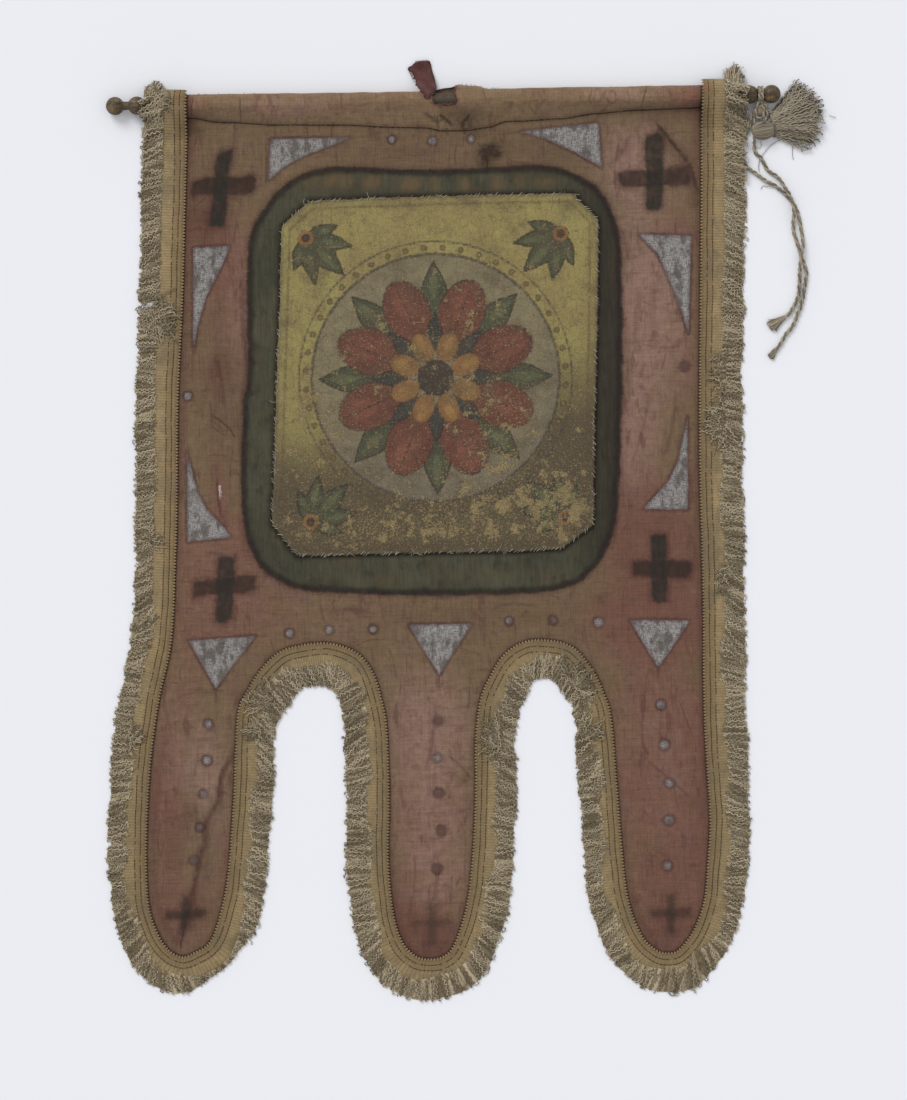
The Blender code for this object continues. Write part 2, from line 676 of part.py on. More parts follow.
def make_trim(trim, parts, material):
    """One length of heading with its locks of fringe."""
    start = stretch_start(trim.first)
    end = stretch_start(trim.after)
    count = round((end - start) / LOCK_PITCH)
    pitch = (end - start) / count
    stations = [start]
    for i in range(count):
        stations += [start + i * pitch + 0.5 * LOCK_GAP, start + (i + 1) * pitch - 0.5 * LOCK_GAP]
    stations.append(end)

    bm = bmesh.new()
    rings = []
    frames = []
    for s in stations:
        place, direction = edge_frame(s)
        if s == start:
            place += direction * GAP
        elif s == end:
            place -= direction * GAP
        frames.append((place, direction))
        rings.append([bm.verts.new(c) for c in trim_ring(place, outward(direction))])
    for j in range(len(rings) - 1):
        here, there = rings[j], rings[j + 1]
        for k in range(6):
            following = (k + 1) % 6
            is_lock = j % 2 == 1 and k == 2
            if not is_lock:
                bm.faces.new((here[k], here[following], there[following], there[k]))
        if j % 2 == 1:
            across = (frames[j][1] + frames[j + 1][1]).normalized()
            out = outward(across)
            root = (frames[j][0] + frames[j + 1][0]) * 0.5 + out * HEADING_W
            reach = fringe_reach(0.5 * (stations[j] + stations[j + 1]))
            spread = [(frames[j][0] + outward(frames[j][1]) * depth - frames[j + 1][0]
                       - outward(frames[j + 1][1]) * depth).length
                      for depth in (HEADING_W, HEADING_W + reach)]
            index = (j - 1) // 2
            sway = sway_of(index) if 0 < index < count - 1 else 0.0
            sections = lock_rings(root, out, across, reach, sway, spread)
            first_tuft = trim.node == "trim_left_top" and index == 0
            last_tuft = trim.node == "trim_right_top" and index == count - 1
            if first_tuft or last_tuft:
                sections = tuft_sections(TOP_TUFTS[trim.node])
            grow_lock(bm, [here[2], there[2], there[3], here[3]], sections)
    bm.faces.new(rings[0])
    bm.faces.new(rings[-1])
    bmesh.ops.recalc_face_normals(bm, faces=bm.faces)
    link_object(trim.node, mesh_from(bm, trim.node), parts, material)


def make_ellipsoid(name, radii, place, turn, collection, material, detail=(14, 9)):
    """A smooth lump resting at the given place, turned in plan."""
    bm = bmesh.new()
    bmesh.ops.create_uvsphere(bm, u_segments=detail[0], v_segments=detail[1], radius=1.0)
    size = Matrix.Diagonal((radii[0] * MM, radii[1] * MM, radii[2] * MM, 1.0))
    bm.transform(Matrix.Translation(scaled(*place)) @ Matrix.Rotation(turn, 4, "Z") @ size)
    return link_object(name, mesh_from(bm, name), collection, material)


def make_tassel(parts, cutters, material):
    """Tassel with a bound head and two layers of locks fanned out on the surface."""
    columns = 9
    root_x, root_half, collar_x = 14.0, 10.0, 5.0
    cell = 2.0 * root_half / columns
    fan = (math.radians(-38.0), math.radians(43.0))
    layers = (
        {"low": 1.2, "high": 4.2, "mid": (0.0, 2.8), "tip": (0.0, 2.0), "shift": 0.0, "reach": 58.0},
        {"low": 5.6, "high": 8.6, "mid": (4.4, 7.2), "tip": (2.8, 4.6), "shift": 0.4, "reach": 53.0},
    )
    bm = bmesh.new()
    heights = [0.4, layers[0]["low"], layers[0]["high"], layers[1]["low"], layers[1]["high"], 9.6]
    sides = [-root_half - 0.6]
    for i in range(columns):
        sides += [-root_half + i * cell + 0.3, -root_half + (i + 1) * cell - 0.3]
    sides.append(root_half + 0.6)
    front = [[bm.verts.new(scaled(root_x, y, z)) for y in sides] for z in heights]
    back = [[bm.verts.new(scaled(collar_x, y, z)) for y in sides] for z in heights]
    for j in range(len(heights) - 1):
        for i in range(len(sides) - 1):
            bm.faces.new((back[j][i], back[j][i + 1], back[j + 1][i + 1], back[j + 1][i]))
            if i % 2 == 1 and j % 2 == 1:
                column = (i - 1) // 2
                layer = layers[(j - 1) // 2]
                ring = [front[j + 1][i], front[j + 1][i + 1], front[j][i + 1], front[j][i]]
                share = (column + layer["shift"]) / (columns - 1 + layer["shift"])
                angle = fan[0] + (fan[1] - fan[0]) * share
                root = Vector((root_x, 0.5 * (sides[i] + sides[i + 1])))
                direction = Vector((math.cos(angle), math.sin(angle)))
                across = Vector((-direction.y, direction.x))
                reach = layer["reach"] * (1.0 - 0.3 * abs(share - 0.5) + 0.03 * math.sin(5.0 * column))
                sections = []
                for part, half_width, span in ((0.45, 2.5, "mid"), (1.0, 3.8, "tip")):
                    low, high = layer[span]
                    middle = root + direction * reach * part
                    sections.append((middle, across, half_width, low, high - low))
                grow_lock(bm, ring, sections)
            else:
                bm.faces.new((front[j][i], front[j][i + 1], front[j + 1][i + 1], front[j + 1][i]))
    for j in range(len(heights) - 1):
        for i in (0, len(sides) - 1):
            bm.faces.new((front[j][i], front[j + 1][i], back[j + 1][i], back[j][i]))
    for i in range(len(sides) - 1):
        for j in (0, len(heights) - 1):
            bm.faces.new((front[j][i], front[j][i + 1], back[j][i + 1], back[j][i]))
    bmesh.ops.recalc_face_normals(bm, faces=bm.faces)
    tassel = link_object("tassel", mesh_from(bm, "tassel"), parts, material)
    tassel.location = scaled(*TASSEL_AT)
    tassel.rotation_euler = (0.0, 0.0, TASSEL_TURN)

    head = make_ellipsoid("tassel_head_joiner", (13.5, 11.0, 7.4), (*TASSEL_AT, 7.4), TASSEL_TURN,
                          cutters, material)
    head.hide_render = True
    head.display_type = "WIRE"
    join = tassel.modifiers.new("head", "BOOLEAN")
    join.operation = "UNION"
    join.solver = "EXACT"
    join.object = head


def make_neck_tie(parts, cutters, material):
    """The tie's loop round the rod's neck, and the knot below it."""
    bpy.ops.mesh.primitive_torus_add(major_radius=RING_R * MM, minor_radius=RING_CORD_R * MM,
                                     major_segments=18, minor_segments=8)
    ring = bpy.context.object
    ring.name = "neck_tie"
    ring.data.name = "neck_tie"
    for collection in list(ring.users_collection):
        collection.objects.unlink(ring)
    parts.objects.link(ring)
    ring.data.materials.append(material)
    ring.rotation_euler = (0.0, math.pi / 2.0, 0.0)
    ring.location = scaled(NECK_X, ROD_Y, ROD_Z)
    knot = make_ellipsoid("knot_joiner", (6.2, 10.3, 5.8), (348.6, 283.0, 6.2), 0.0, cutters, material,
                          (12, 8))
    knot.hide_render = True
    knot.display_type = "WIRE"
    join = ring.modifiers.new("knot", "BOOLEAN")
    join.operation = "UNION"
    join.solver = "EXACT"
    join.object = knot


def make_cord(name, route, parts, material):
    """A tie end as a tube along the smooth curve through its route."""
    data = bpy.data.curves.new(name, "CURVE")
    data.dimensions = "3D"
    data.bevel_depth = 0.5 * CORD_D * MM
    data.bevel_resolution = 2
    data.use_fill_caps = True
    points = spaced(smooth_curve(route), CORD_STEP)
    spline = data.splines.new("POLY")
    spline.points.add(len(points) - 1)
    for target, point in zip(spline.points, points):
        target.co = (*scaled(*point), 1.0)
    item = bpy.data.objects.new(name, data)
    parts.objects.link(item)
    data.materials.append(material)


def make_brush(brush, parts, material):
    """The frayed end of a tie: a cone that opens and flattens towards its tip."""
    root, tip = Vector(brush.root), Vector(brush.tip)
    along = (tip - root).normalized()
    across = Vector((-along.y, along.x))
    bm = bmesh.new()
    rings = []
    for middle, width, half_height in ((root, brush.root_r, brush.root_r),
                                       (root.lerp(tip, 0.5), 0.5 * (brush.root_r + brush.tip_w),
                                        brush.tip_h),
                                       (tip, brush.tip_w, brush.tip_h)):
        ring = []
        for i in range(8):
            angle = math.tau * i / 8.0
            place = middle + across * width * math.cos(angle)
            height = half_height + 0.2 + half_height * math.sin(angle)
            ring.append(bm.verts.new(scaled(place.x, place.y, height)))
        rings.append(ring)
    for here, there in zip(rings, rings[1:]):
        for i in range(8):
            bm.faces.new((here[i], here[(i + 1) % 8], there[(i + 1) % 8], there[i]))
    bm.faces.new(rings[0])
    bm.faces.new(rings[-1])
    bmesh.ops.recalc_face_normals(bm, faces=bm.faces)
    link_object(brush.node, mesh_from(bm, brush.node), parts, material)


def main():
    clear_scene()
    parts = new_collection("church_banner_with_rod")
    cutters = new_collection("cutters")
    materials = {slot: new_material(slot) for slot in FINISHES}
    make_cloth(parts, cutters, materials["faded_cloth"])
    make_panel(parts, materials["painted_canvas"])
    make_rod(parts, materials["old_wood"])
    for trim in TRIMS:
        make_trim(trim, parts, materials["trim_yarn"])
    make_tassel(parts, cutters, materials["cord_yarn"])
    make_neck_tie(parts, cutters, materials["cord_yarn"])
    make_cord("tie_long", TIE_LONG, parts, materials["cord_yarn"])
    make_cord("tie_short", TIE_SHORT, parts, materials["cord_yarn"])
    for brush in BRUSHES:
        make_brush(brush, parts, materials["cord_yarn"])


main()
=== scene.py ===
"""Looks of the church banner with its rod, lying face up and seen from straight above.

The scene is in metres, in the frame of the solids: the rod runs along X, +Z is up, and the origin
is under the middle of the painted panel. Tables and sizes below are in millimetres, and scaled()
turns them into metres where a mesh is made.
"""
import math
from collections import namedtuple

import bmesh
import bpy
import numpy as np
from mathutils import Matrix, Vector, noise


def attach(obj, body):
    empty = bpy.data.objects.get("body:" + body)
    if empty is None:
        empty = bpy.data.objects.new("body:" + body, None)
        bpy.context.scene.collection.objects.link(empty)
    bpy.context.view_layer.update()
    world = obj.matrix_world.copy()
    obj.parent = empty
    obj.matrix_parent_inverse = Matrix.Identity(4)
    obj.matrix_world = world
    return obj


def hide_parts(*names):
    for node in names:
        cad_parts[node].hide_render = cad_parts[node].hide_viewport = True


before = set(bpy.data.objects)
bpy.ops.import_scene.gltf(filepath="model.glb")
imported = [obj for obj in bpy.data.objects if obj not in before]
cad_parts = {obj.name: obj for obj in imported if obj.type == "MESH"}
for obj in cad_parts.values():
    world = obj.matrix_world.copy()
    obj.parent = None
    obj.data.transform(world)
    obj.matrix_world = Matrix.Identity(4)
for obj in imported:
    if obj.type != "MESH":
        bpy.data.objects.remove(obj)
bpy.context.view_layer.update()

MM = 0.001
BODY = "root"

# View: the photo's frame is 907 x 1100 pixels, and one pixel is 1.1 mm of the banner
PHOTO_HEIGHT = 1100 * 1.1
VIEW_MIDDLE = (2.2, -193.6)
VIEW_TURN = math.radians(-1.05)
VIEW_LENS = 100.0
SENSOR = 36.0

# Rod
ROD_Y = 300.0
ROD_Z = 10.0
SHAFT_R = 7.5
BEAD_R = 10.0
OUTER_BEAD_X = 360.0
INNER_BEAD_X = 336.0
NECK_X = 348.0
NECK_R = 4.8

# Cloth: a thin sheet in the middle of its solid, with the sleeve round the rod
CLOTH_CELL = 2.7
CLOTH_MID = 0.8
LAP = 12.0
WARP_Y = 228.0          # above this the rows of the sheet bend to follow the seam
SEAM_ROWS = 16
SLEEVE_R = 8.7
SEAM_LIFT = 1.9
SEAM_RAMP = 14.0
LIP_Z = 3.4

# Trim
HEADING_W = 27.0
RIB_PITCH = 3.0
RIB_SAMPLES = 4
PICOT_PITCH = 3.5
STITCH_ROWS = (5.5, 11.5)
TRIM_RISE = 42.0
TRIM_CREST = 20.8
TRIM_CREST_HALF = 4.0
TRIM_FALL = 9.0
TRIM_FALL_RUN = 12.0
TIE_LIFT = 5.6
TIE_NEAR = 9.0
TIE_FAR = 20.0

# Tassel and tie
PLY_R = 1.25
PLY_OFFSET = 1.05
TWIST_PITCH = 13.0
RING_R = 7.4
TASSEL_TURN = math.radians(8.5)
TASSEL_AT = (351.5, 262.0)

# Visible edge of the cloth, where the trim's inner edge runs: down the left side, round the
# three tails and up the right side. Columns are x and y.
EDGE = {
    "left_top": ((-282, 316),),
    "left_side": ((-285, 242), (-287, 197), (-292, 87), (-299, -23), (-302, -133), (-305, -199),
                  (-311, -287), (-326, -353), (-336, -418), (-342, -495)),
    "left_tail": ((-343, -550), (-339, -589), (-325, -622), (-307, -636), (-290, -632),
                  (-271, -618), (-256, -574), (-249, -530), (-243, -464), (-240, -409)),
    "left_arch_rise": ((-236, -365), (-225, -343), (-211, -322), (-190, -303)),
    "left_arch_fall": ((-158, -295), (-130, -296), (-105, -307), (-90, -327), (-81, -357)),
    "middle_tail": ((-76, -390), (-75, -467), (-77, -533), (-73, -588), (-64, -622), (-48, -640),
                    (-32, -644), (-17, -641), (-4, -628), (11, -584), (19, -524), (23, -458),
                    (24, -403)),
    "right_arch_rise": ((30, -359), (42, -332), (57, -310), (79, -297)),
    "right_arch_fall": ((106, -296), (131, -304), (150, -326), (163, -353)),
    "right_tail": ((171, -384), (176, -461), (180, -527), (186, -582), (200, -621), (216, -638),
                   (230, -642), (243, -638), (260, -616), (272, -584), (277, -540), (280, -496)),
    "right_side": ((278, -441), (276, -386), (276, -320), (277, -254), (276, -121), (277, -33),
                   (280, 77), (283, 186)),
    "right_top": ((284, 242), (285, 318)),
}
EDGE_STEPS = 10

# Fringe length beyond the heading at the start and end of each stretch
Reach = namedtuple("Reach", "start end")
FRINGE = {
    "left_top": Reach(22, 21.5),
    "left_side": Reach(21.5, 15),
    "left_tail": Reach(13, 16),
    "left_arch_rise": Reach(19, 20),
    "left_arch_fall": Reach(20, 20),
    "middle_tail": Reach(20, 17),
    "right_arch_rise": Reach(17, 15),
    "right_arch_fall": Reach(15, 13),
    "right_tail": Reach(14, 17),
    "right_side": Reach(18, 21.5),
    "right_top": Reach(21.5, 22),
}

# How far the fringe lies back over the heading at the start and end of each stretch
COVER = {
    "left_top": Reach(3, 2),
    "left_side": Reach(1, 10),
    "left_tail": Reach(14, 8),
    "left_arch_rise": Reach(12, 10),
    "left_arch_fall": Reach(9, 9),
    "middle_tail": Reach(10, 11),
    "right_arch_rise": Reach(10, 11),
    "right_arch_fall": Reach(12, 13),
    "right_tail": Reach(14, 9),
    "right_side": Reach(10, 2),
    "right_top": Reach(2, 3),
}

# Fringe yarns: distance between them, points along each, crimp, spread of directions, height
YARN_SPACING = 1.45
YARN_STEPS = 28
YARN_CRIMP = 1.15
YARN_SPREAD = 0.2
YARN_LEVEL = 3.2
YARN_ARCH = 1.1
MAT_PITCH = 1.1
MAT_ROWS = 11
CRIMP_LENGTH = 7.0
DOWN_LEAN = 0.3

# Places where the fringe is worn short: x, y, half length and the share that is gone
Short = namedtuple("Short", "x y half_length share")
SHORT_FRINGE = (Short(-292, 83, 4.5, 0.85), Short(-279, -624, 24, 0.72), Short(-305, -199, 4, 0.3),
                Short(-342, -510, 5, 0.25), Short(22, -520, 6, 0.25), Short(163, -345, 7, 0.4))

# Places where fringe is thrown back over the heading: x, y, half length and share of the heading
Thrown = namedtuple("Thrown", "x y half_length reach")
THROWN = (
    Thrown(-293, 63, 17, 1.0), Thrown(-226, -345, 16, 0.9), Thrown(-240, -385, 12, 0.7),
    Thrown(22, -405, 17, 1.0), Thrown(155, -335, 26, 0.95), Thrown(172, -395, 12, 0.7),
    Thrown(277, -5, 22, 0.6), Thrown(277, -60, 30, 0.8), Thrown(276, -225, 16, 0.5),
    Thrown(-303, -180, 10, 0.4), Thrown(-334, -400, 14, 0.6), Thrown(-283, 304, 12, 0.4),
)

# Sleeve seam across the front. Columns are x and y.
SEAM = ((-310, 286), (-277, 286), (-246, 281), (-180, 277), (-134, 276), (-23, 271), (2, 267),
        (24, 267), (48, 270), (70, 276), (128, 278), (168, 283), (212, 286), (310, 288))

# How far the sleeve's top edge stands beyond the rod's axis. Columns are x and reach.
NOSE = ((-310, 12.0), (-200, 11.5), (-100, 10.8), (-20, 10.6), (6, 15.0), (16, 17.0), (36, 15.5),
        (50, 12.2), (310, 12.0))

# Folds of the lying cloth that the solids have too, each a soft ridge along its route
Fold = namedtuple("Fold", "half_width height route")
FOLDS = (
    Fold(15, 5.0, ((-256, -438), (-265, -460), (-278, -492), (-286, -532), (-296, -572),
                   (-303, -600))),
    Fold(14, 3.5, ((-9, -419), (8, -440))),
    Fold(14, 4.0, ((200, -419), (235, -450), (256, -470))),
    Fold(12, 3.0, ((203, -600), (214, -614))),
    Fold(15, 4.0, ((236, 262), (262, 234), (272, 190))),
    Fold(12, 3.5, ((45, 248), (45, 214))),
    Fold(14, 3.0, ((-256, 31), (-246, -35))),
)

# Sharper creases along and beside the folds; a negative height is a trough
CREASES = (
    Fold(4.5, -1.6, ((-242, -416), (-258, -447), (-272, -480), (-282, -520), (-290, -560),
                     (-300, -598), (-305, -626))),
    Fold(3.0, -1.2, ((-9, -419), (5, -430), (18, -447))),
    Fold(3.0, -1.3, ((197, -416), (235, -450), (260, -472))),
    Fold(2.5, -1.2, ((191, -594), (215, -622))),
    Fold(3.8, -2.6, ((231, 277), (250, 252), (265, 231), (275, 206), (280, 186))),
    Fold(2.6, -1.5, ((45, 262), (46, 224), (45, 190))),
    Fold(3.0, -1.0, ((-256, 31), (-250, 0), (-246, -35))),
    Fold(2.2, -1.2, ((-3, 285), (9, 271))),
    Fold(2.2, -1.2, ((33, 292), (24, 278), (20, 268))),
    Fold(2.2, -1.0, ((30, 257), (45, 240))),
    Fold(2.0, -0.9, ((-253, -80), (-254, -112), (-252, -150))),
    Fold(6.0, 1.1, ((-246, -90), (-247, -160))),
    Fold(4.0, -0.8, ((213, -18), (219, -60), (230, -78))),
    Fold(6.0, 0.9, ((235, 40), (247, -10), (250, -40))),
    Fold(5.0, 0.8, ((-115, -245), (-118, -290))),
    Fold(4.0, -0.8, ((62, -250), (66, -300))),
    Fold(6.0, 0.9, ((-28, -350), (-34, -470))),
    Fold(5.0, 0.8, ((212, -330), (245, -395), (258, -430))),
    Fold(3.0, -0.8, ((246, -360), (262, -405))),
)

# Outline of the painted panel. Columns are x and y.
PANEL = ((-180, 166), (-149, 193), (-64, 195), (32, 196), (140, 196), (168, 167), (165, 60),
         (161, -36), (156, -169), (121, -194), (78, -196), (-28, -196), (-170, -197),
         (-197, -162), (-191, -55), (-184, 85))
PANEL_CELL = 2.2
PANEL_Z = 2.2
PANEL_FOOT_Z = 1.6

# Outer outline of the painted green band round the panel, a smooth closed curve
BAND = ((-214, 147), (-218, 86), (-218, 11), (-225, -38), (-227, -100), (-226, -160), (-213, -202),
        (-191, -221), (-160, -233), (-60, -240), (65, -241), (115, -237), (147, -224), (174, -185),
        (183, -130), (189, -14), (191, 109), (188, 155), (171, 195), (145, 214), (110, 225),
        (42, 224), (-20, 223), (-113, 228), (-152, 222), (-178, 207), (-202, 178))

# Painted marks on the cloth. Corners run round each mark; silver is 1 for a bright grey mark.
Mark = namedtuple("Mark", "silver corners")
MARKS = (
    Mark(1.0, ((-191, 262), (-103, 262), (-137, 249), (-153, 243), (-175, 232), (-194, 217))),
    Mark(1.0, ((83, 265), (170, 273), (173, 224), (158, 233), (137, 245), (111, 257))),
    Mark(0.9, ((-278, 144), (-237, 145), (-248, 121), (-264, 91), (-274, 60), (-280, 31))),
    Mark(0.9, ((-289, -81), (-278, -125), (-268, -145), (-253, -160), (-242, -175),
               (-290, -179))),
    Mark(0.9, ((212, 150), (270, 147), (265, 40), (258, 63), (248, 92), (233, 127))),
    Mark(0.9, ((262, -53), (261, -154), (212, -152), (225, -138), (240, -122), (251, -100))),
    Mark(0.7, ((-291, -288), (-217, -284), (-262, -341))),
    Mark(0.8, ((-49, -275), (21, -275), (-16, -331))),
    Mark(0.9, ((194, -274), (261, -276), (225, -327))),
)

# Painted dots: x, y, radius and brightness; a low brightness is a dark dot
Dot = namedtuple("Dot", "x y radius silver")
DOTS = (
    Dot(-57, 259, 3.6, 0.9), Dot(-13, 257, 4.2, 1.0), Dot(30, 258, 3.8, 0.9),
    Dot(-287, -19, 4.2, 0.85), Dot(260, 4, 4.6, 0.12), Dot(-180, -282, 4.2, 0.85),
    Dot(-136, -279, 4.2, 0.8), Dot(-88, -279, 4.0, 0.75), Dot(62, -273, 3.8, 0.7),
    Dot(110, -273, 4.0, 0.3), Dot(160, -276, 5.0, 0.8), Dot(-271, -380, 4.4, 0.75),
    Dot(-273, -420, 4.6, 0.85), Dot(-278, -457, 4.2, 0.4), Dot(-282, -493, 4.0, 0.35),
    Dot(-289, -529, 4.4, 0.35), Dot(-18, -381, 4.8, 0.08), Dot(-20, -422, 4.4, 0.6),
    Dot(-19, -461, 5.0, 0.1), Dot(-17, -502, 5.0, 0.0), Dot(-22, -544, 4.8, 0.0),
    Dot(227, -368, 4.8, 0.85), Dot(230, -412, 5.0, 0.6), Dot(235, -454, 4.6, 0.7),
    Dot(234, -495, 5.2, 0.6), Dot(231, -545, 5.0, 0.45),
)

# Painted crosses: softness of the edge in mm, strength, and the corners of the two bars
Cross = namedtuple("Cross", "soft strength upright across")
CROSSES = (
    Cross(2.1, 1.0,
          ((-249, 246), (-244, 250), (-239, 250), (-232, 252), (-233, 246), (-236, 234),
           (-238, 222), (-239, 202), (-240, 188), (-243, 166), (-259, 167), (-260, 171),
           (-258, 185), (-255, 200), (-253, 222), (-252.5, 234)),
          ((-279, 202), (-278, 213), (-273, 218), (-262, 221), (-238, 221.5), (-224, 220),
           (-214, 223), (-208, 220), (-208.6, 206.5), (-214.6, 202), (-239, 201), (-270, 203),
           (-276, 199.7))),
    Cross(2.1, 0.95,
          ((223, 257.6), (228, 260), (236.6, 260), (240.7, 256), (241, 239), (240, 221),
           (240, 203), (238.7, 179), (234, 175.7), (222, 176.6), (220, 181), (221.7, 203.6),
           (222, 221.6), (220.5, 233.6), (220.8, 251.6)),
          ((191, 217), (195, 219.7), (221, 219.8), (241, 221), (267, 223), (270, 207.5),
           (267, 202.7), (241, 202.6), (196, 202), (191, 209))),
    Cross(2.3, 0.95,
          ((-257, -195), (-239.4, -196), (-239, -218), (-241.4, -236), (-241, -248),
           (-243, -264), (-251.6, -270.7), (-261, -267), (-260.3, -251.4), (-259.4, -239.4),
           (-259.7, -221.4), (-257, -209.4)),
          ((-285, -224.5), (-274.7, -222.3), (-259.7, -221.4), (-240, -219.3), (-226.6, -217.2),
           (-215.8, -218.6), (-216.7, -233), (-228, -236.4), (-240, -237.3), (-269, -237),
           (-284.7, -240.7))),
    Cross(2.1, 1.0,
          ((219.3, -181.7), (225, -180), (236, -180.7), (237, -193), (237, -228),
           (235.6, -254), (227.4, -255.7), (219.4, -253), (219, -227.6), (219.7, -208.7),
           (219, -192.5)),
          ((198, -209.3), (219.3, -209.6), (237.3, -208.6), (263.4, -210.4), (264.2, -216),
           (261.7, -229.3), (237, -228.4), (219, -227.6), (198.7, -226))),
    Cross(2.6, 0.85,
          ((-299.5, -568), (-296.5, -569), (-293.5, -582), (-295, -592), (-300, -604),
           (-305, -604), (-305, -592), (-303, -580)),
          ((-321, -585.5), (-302, -585), (-284, -583), (-275.5, -587), (-283, -593),
           (-300, -594), (-321, -593))),
    Cross(4.0, 0.5,
          ((-33, -585), (-25, -585), (-24, -606), (-25, -627), (-33, -627), (-34, -606)),
          ((-50, -599), (-29, -600), (-10, -598), (-10, -606), (-29, -607), (-50, -606))),
    Cross(3.0, 0.7,
          ((230, -578), (237, -578), (239, -597), (237, -619), (231, -619), (229, -597)),
          ((212, -594), (234, -593), (256, -592), (256, -600), (234, -602), (212, -601))),
)

# Lines on the cloth: painted shade along folds, and lines of dye and dirt. A plum line is reddish,
# a dark one nearly black.
Line = namedtuple("Line", "half_width strength route")
PLUM_LINES = (
    Line(3.0, 0.85, ((-241, -392), (-246, -416), (-257, -437), (-260, -461), (-272, -483),
                     (-275.5, -497), (-276, -508), (-283, -531), (-288, -555), (-294, -584),
                     (-302, -606), (-306, -629))),
    Line(6.0, 0.55, ((228, 278), (244, 256), (258, 239), (268, 223), (276, 192), (282, 166))),
    Line(2.2, 0.55, ((-256, 33), (-250, 0), (-246, -37))),
    Line(1.3, 0.5, ((-9, -419), (5, -430), (18, -447))),
    Line(1.4, 0.45, ((197, -416), (235, -450), (260, -472))),
    Line(1.2, 0.5, ((191, -594), (215, -622))),
    Line(0.7, 0.6, ((-269, 183), (-254, 182.5))),
    Line(1.0, 0.6, ((-196, 262), (-196, 235), (-196.5, 208))),
    Line(1.2, 0.5, ((-16, -331), (-16.5, -347))), Line(1.2, 0.5, ((225, -327), (225, -340))),
    Line(1.4, 0.5, ((-262, -341), (-261, -358))),
    Line(1.0, 0.4, ((171, 262), (172, 240), (174, 224))),
    Line(1.1, 0.4, ((-103, 262), (-84, 263))), Line(1.0, 0.4, ((83, 265), (66, 262))),
    Line(1.5, 0.75, ((-255.5, -108), (-256, -126), (-254, -140), (-252, -156))),
    Line(3.0, 0.6, ((-226, 130), (-225, 60), (-222, 10), (-229, -50))),
    Line(3.0, 0.4, ((194, 158), (198, 140), (203, 116))),
    Line(3.4, 0.3, ((213, 92), (209, 60), (205, 30))),
    Line(3.6, 0.25, ((228, 100), (225, 66), (230, 20))),
    Line(2.6, 0.35, ((-262, 20), (-256, -20), (-262, -60))),
    Line(2.6, 0.35, ((206, 262), (196, 240), (184, 228))),
    Line(3.4, 0.3, ((196, 60), (200, 10), (196, -40))),
    Line(2.0, 0.4, ((236, -96), (246, -60), (250, -20))),
    Line(2.0, 0.35, ((-250, 160), (-238, 120), (-232, 80))),
    Line(2.0, 0.4, ((-20, -352), (-24, -400), (-34, -440))),
    Line(1.8, 0.4, ((212, -340), (206, -390), (210, -430))),
    Line(2.2, 0.35, ((-140, -262), (-120, -256), (-90, -262))),
    Line(1.6, 0.35, ((40, -262), (60, -254), (100, -258))),
    Line(1.8, 0.35, ((222, -18), (214, -60), (198, -110))),
    Line(5.0, 0.3, ((-281, 232), (-283, 150), (-287, 60), (-294, -60), (-298, -150))),
    Line(4.0, 0.35, ((-309, -340), (-331, -470), (-333, -560), (-318, -610), (-300, -628))),
    Line(4.0, 0.3, ((279, 240), (277, 60), (272, -130), (272, -300), (274, -440), (272, -540))),
    Line(3.4, 0.3, ((-70, -480), (-72, -540), (-66, -600), (-50, -632), (-20, -634), (0, -590))),
    Line(3.4, 0.3, ((182, -470), (188, -550), (200, -600), (216, -630), (244, -632))),
)
DARK_LINES = (
    Line(1.4, 0.6, ((-298, -598), (-302, -607), (-304.5, -618), (-306, -630))),
    Line(2.4, 0.65, ((230, 278), (239, 264), (247, 254), (256, 243), (263, 234), (268, 226))),
    Line(3.0, 0.5, ((262, 238), (269, 224), (275, 206), (280, 190))),
    Line(0.8, 0.55, ((-222, 308), (-223, 278))), Line(0.9, 0.5, ((-273, 309), (-277, 287))),
    Line(0.9, 0.5, ((223, 311), (217, 288))), Line(0.8, 0.3, ((201, 309), (204, 291))),
    Line(2.2, 0.75, ((-6, 284), (3, 279), (10, 271))),
    Line(2.2, 0.55, ((-22, 287), (-12, 280), (-4, 274))),
    Line(2.2, 0.8, ((18, 268), (23, 277), (31, 285))),
    Line(1.6, 0.6, ((16, 276), (22, 268), (24, 262))), Line(0.9, 0.4, ((31.5, 292), (30.6, 278))),
    Line(0.8, 0.4, ((44, 310), (47, 297))), Line(0.8, 0.3, ((22, 262), (20, 248))),
    Line(1.2, 0.75, ((46, 240), (47.3, 225.5), (45, 196))),
    Line(0.9, 0.5, ((36, 256), (42, 246), (46, 240))),
    Line(0.7, 0.45, ((-262, 199), (-274, 190))), Line(0.7, 0.3, ((-70, 249), (-45, 245))),
    Line(1.0, 0.45, ((-243, -430), (-247, -480), (-251, -530))),
    Line(0.8, 0.4, ((246, -360), (256, -388), (262, -405))),
    Line(0.7, 0.5, ((70, -214), (69, -232), (71, -240))),
    Line(1.6, 0.5, ((-264, -38), (-250, -48), (-240, -58), (-235, -68))),
    Line(1.0, 0.4, ((-262, -52), (-252, -60), (-246, -62))),
    Line(0.9, 0.45, ((-16, 280), (-4, 270), (6, 262))),
    Line(0.9, 0.45, ((14, 256), (12, 240), (13, 226))),
    Line(0.9, 0.4, ((0, 223), (2, 210), (0, 199))),
    Line(0.8, 0.4, ((-30, 222), (-32, 210), (-31, 200))),
    Line(0.8, 0.35, ((-216, 90), (-214, 40), (-217, -10))),
    Line(0.8, 0.35, ((250, 120), (246, 90), (249, 64))),
    Line(0.9, 0.35, ((-110, -300), (-96, -292), (-70, -290))),
)
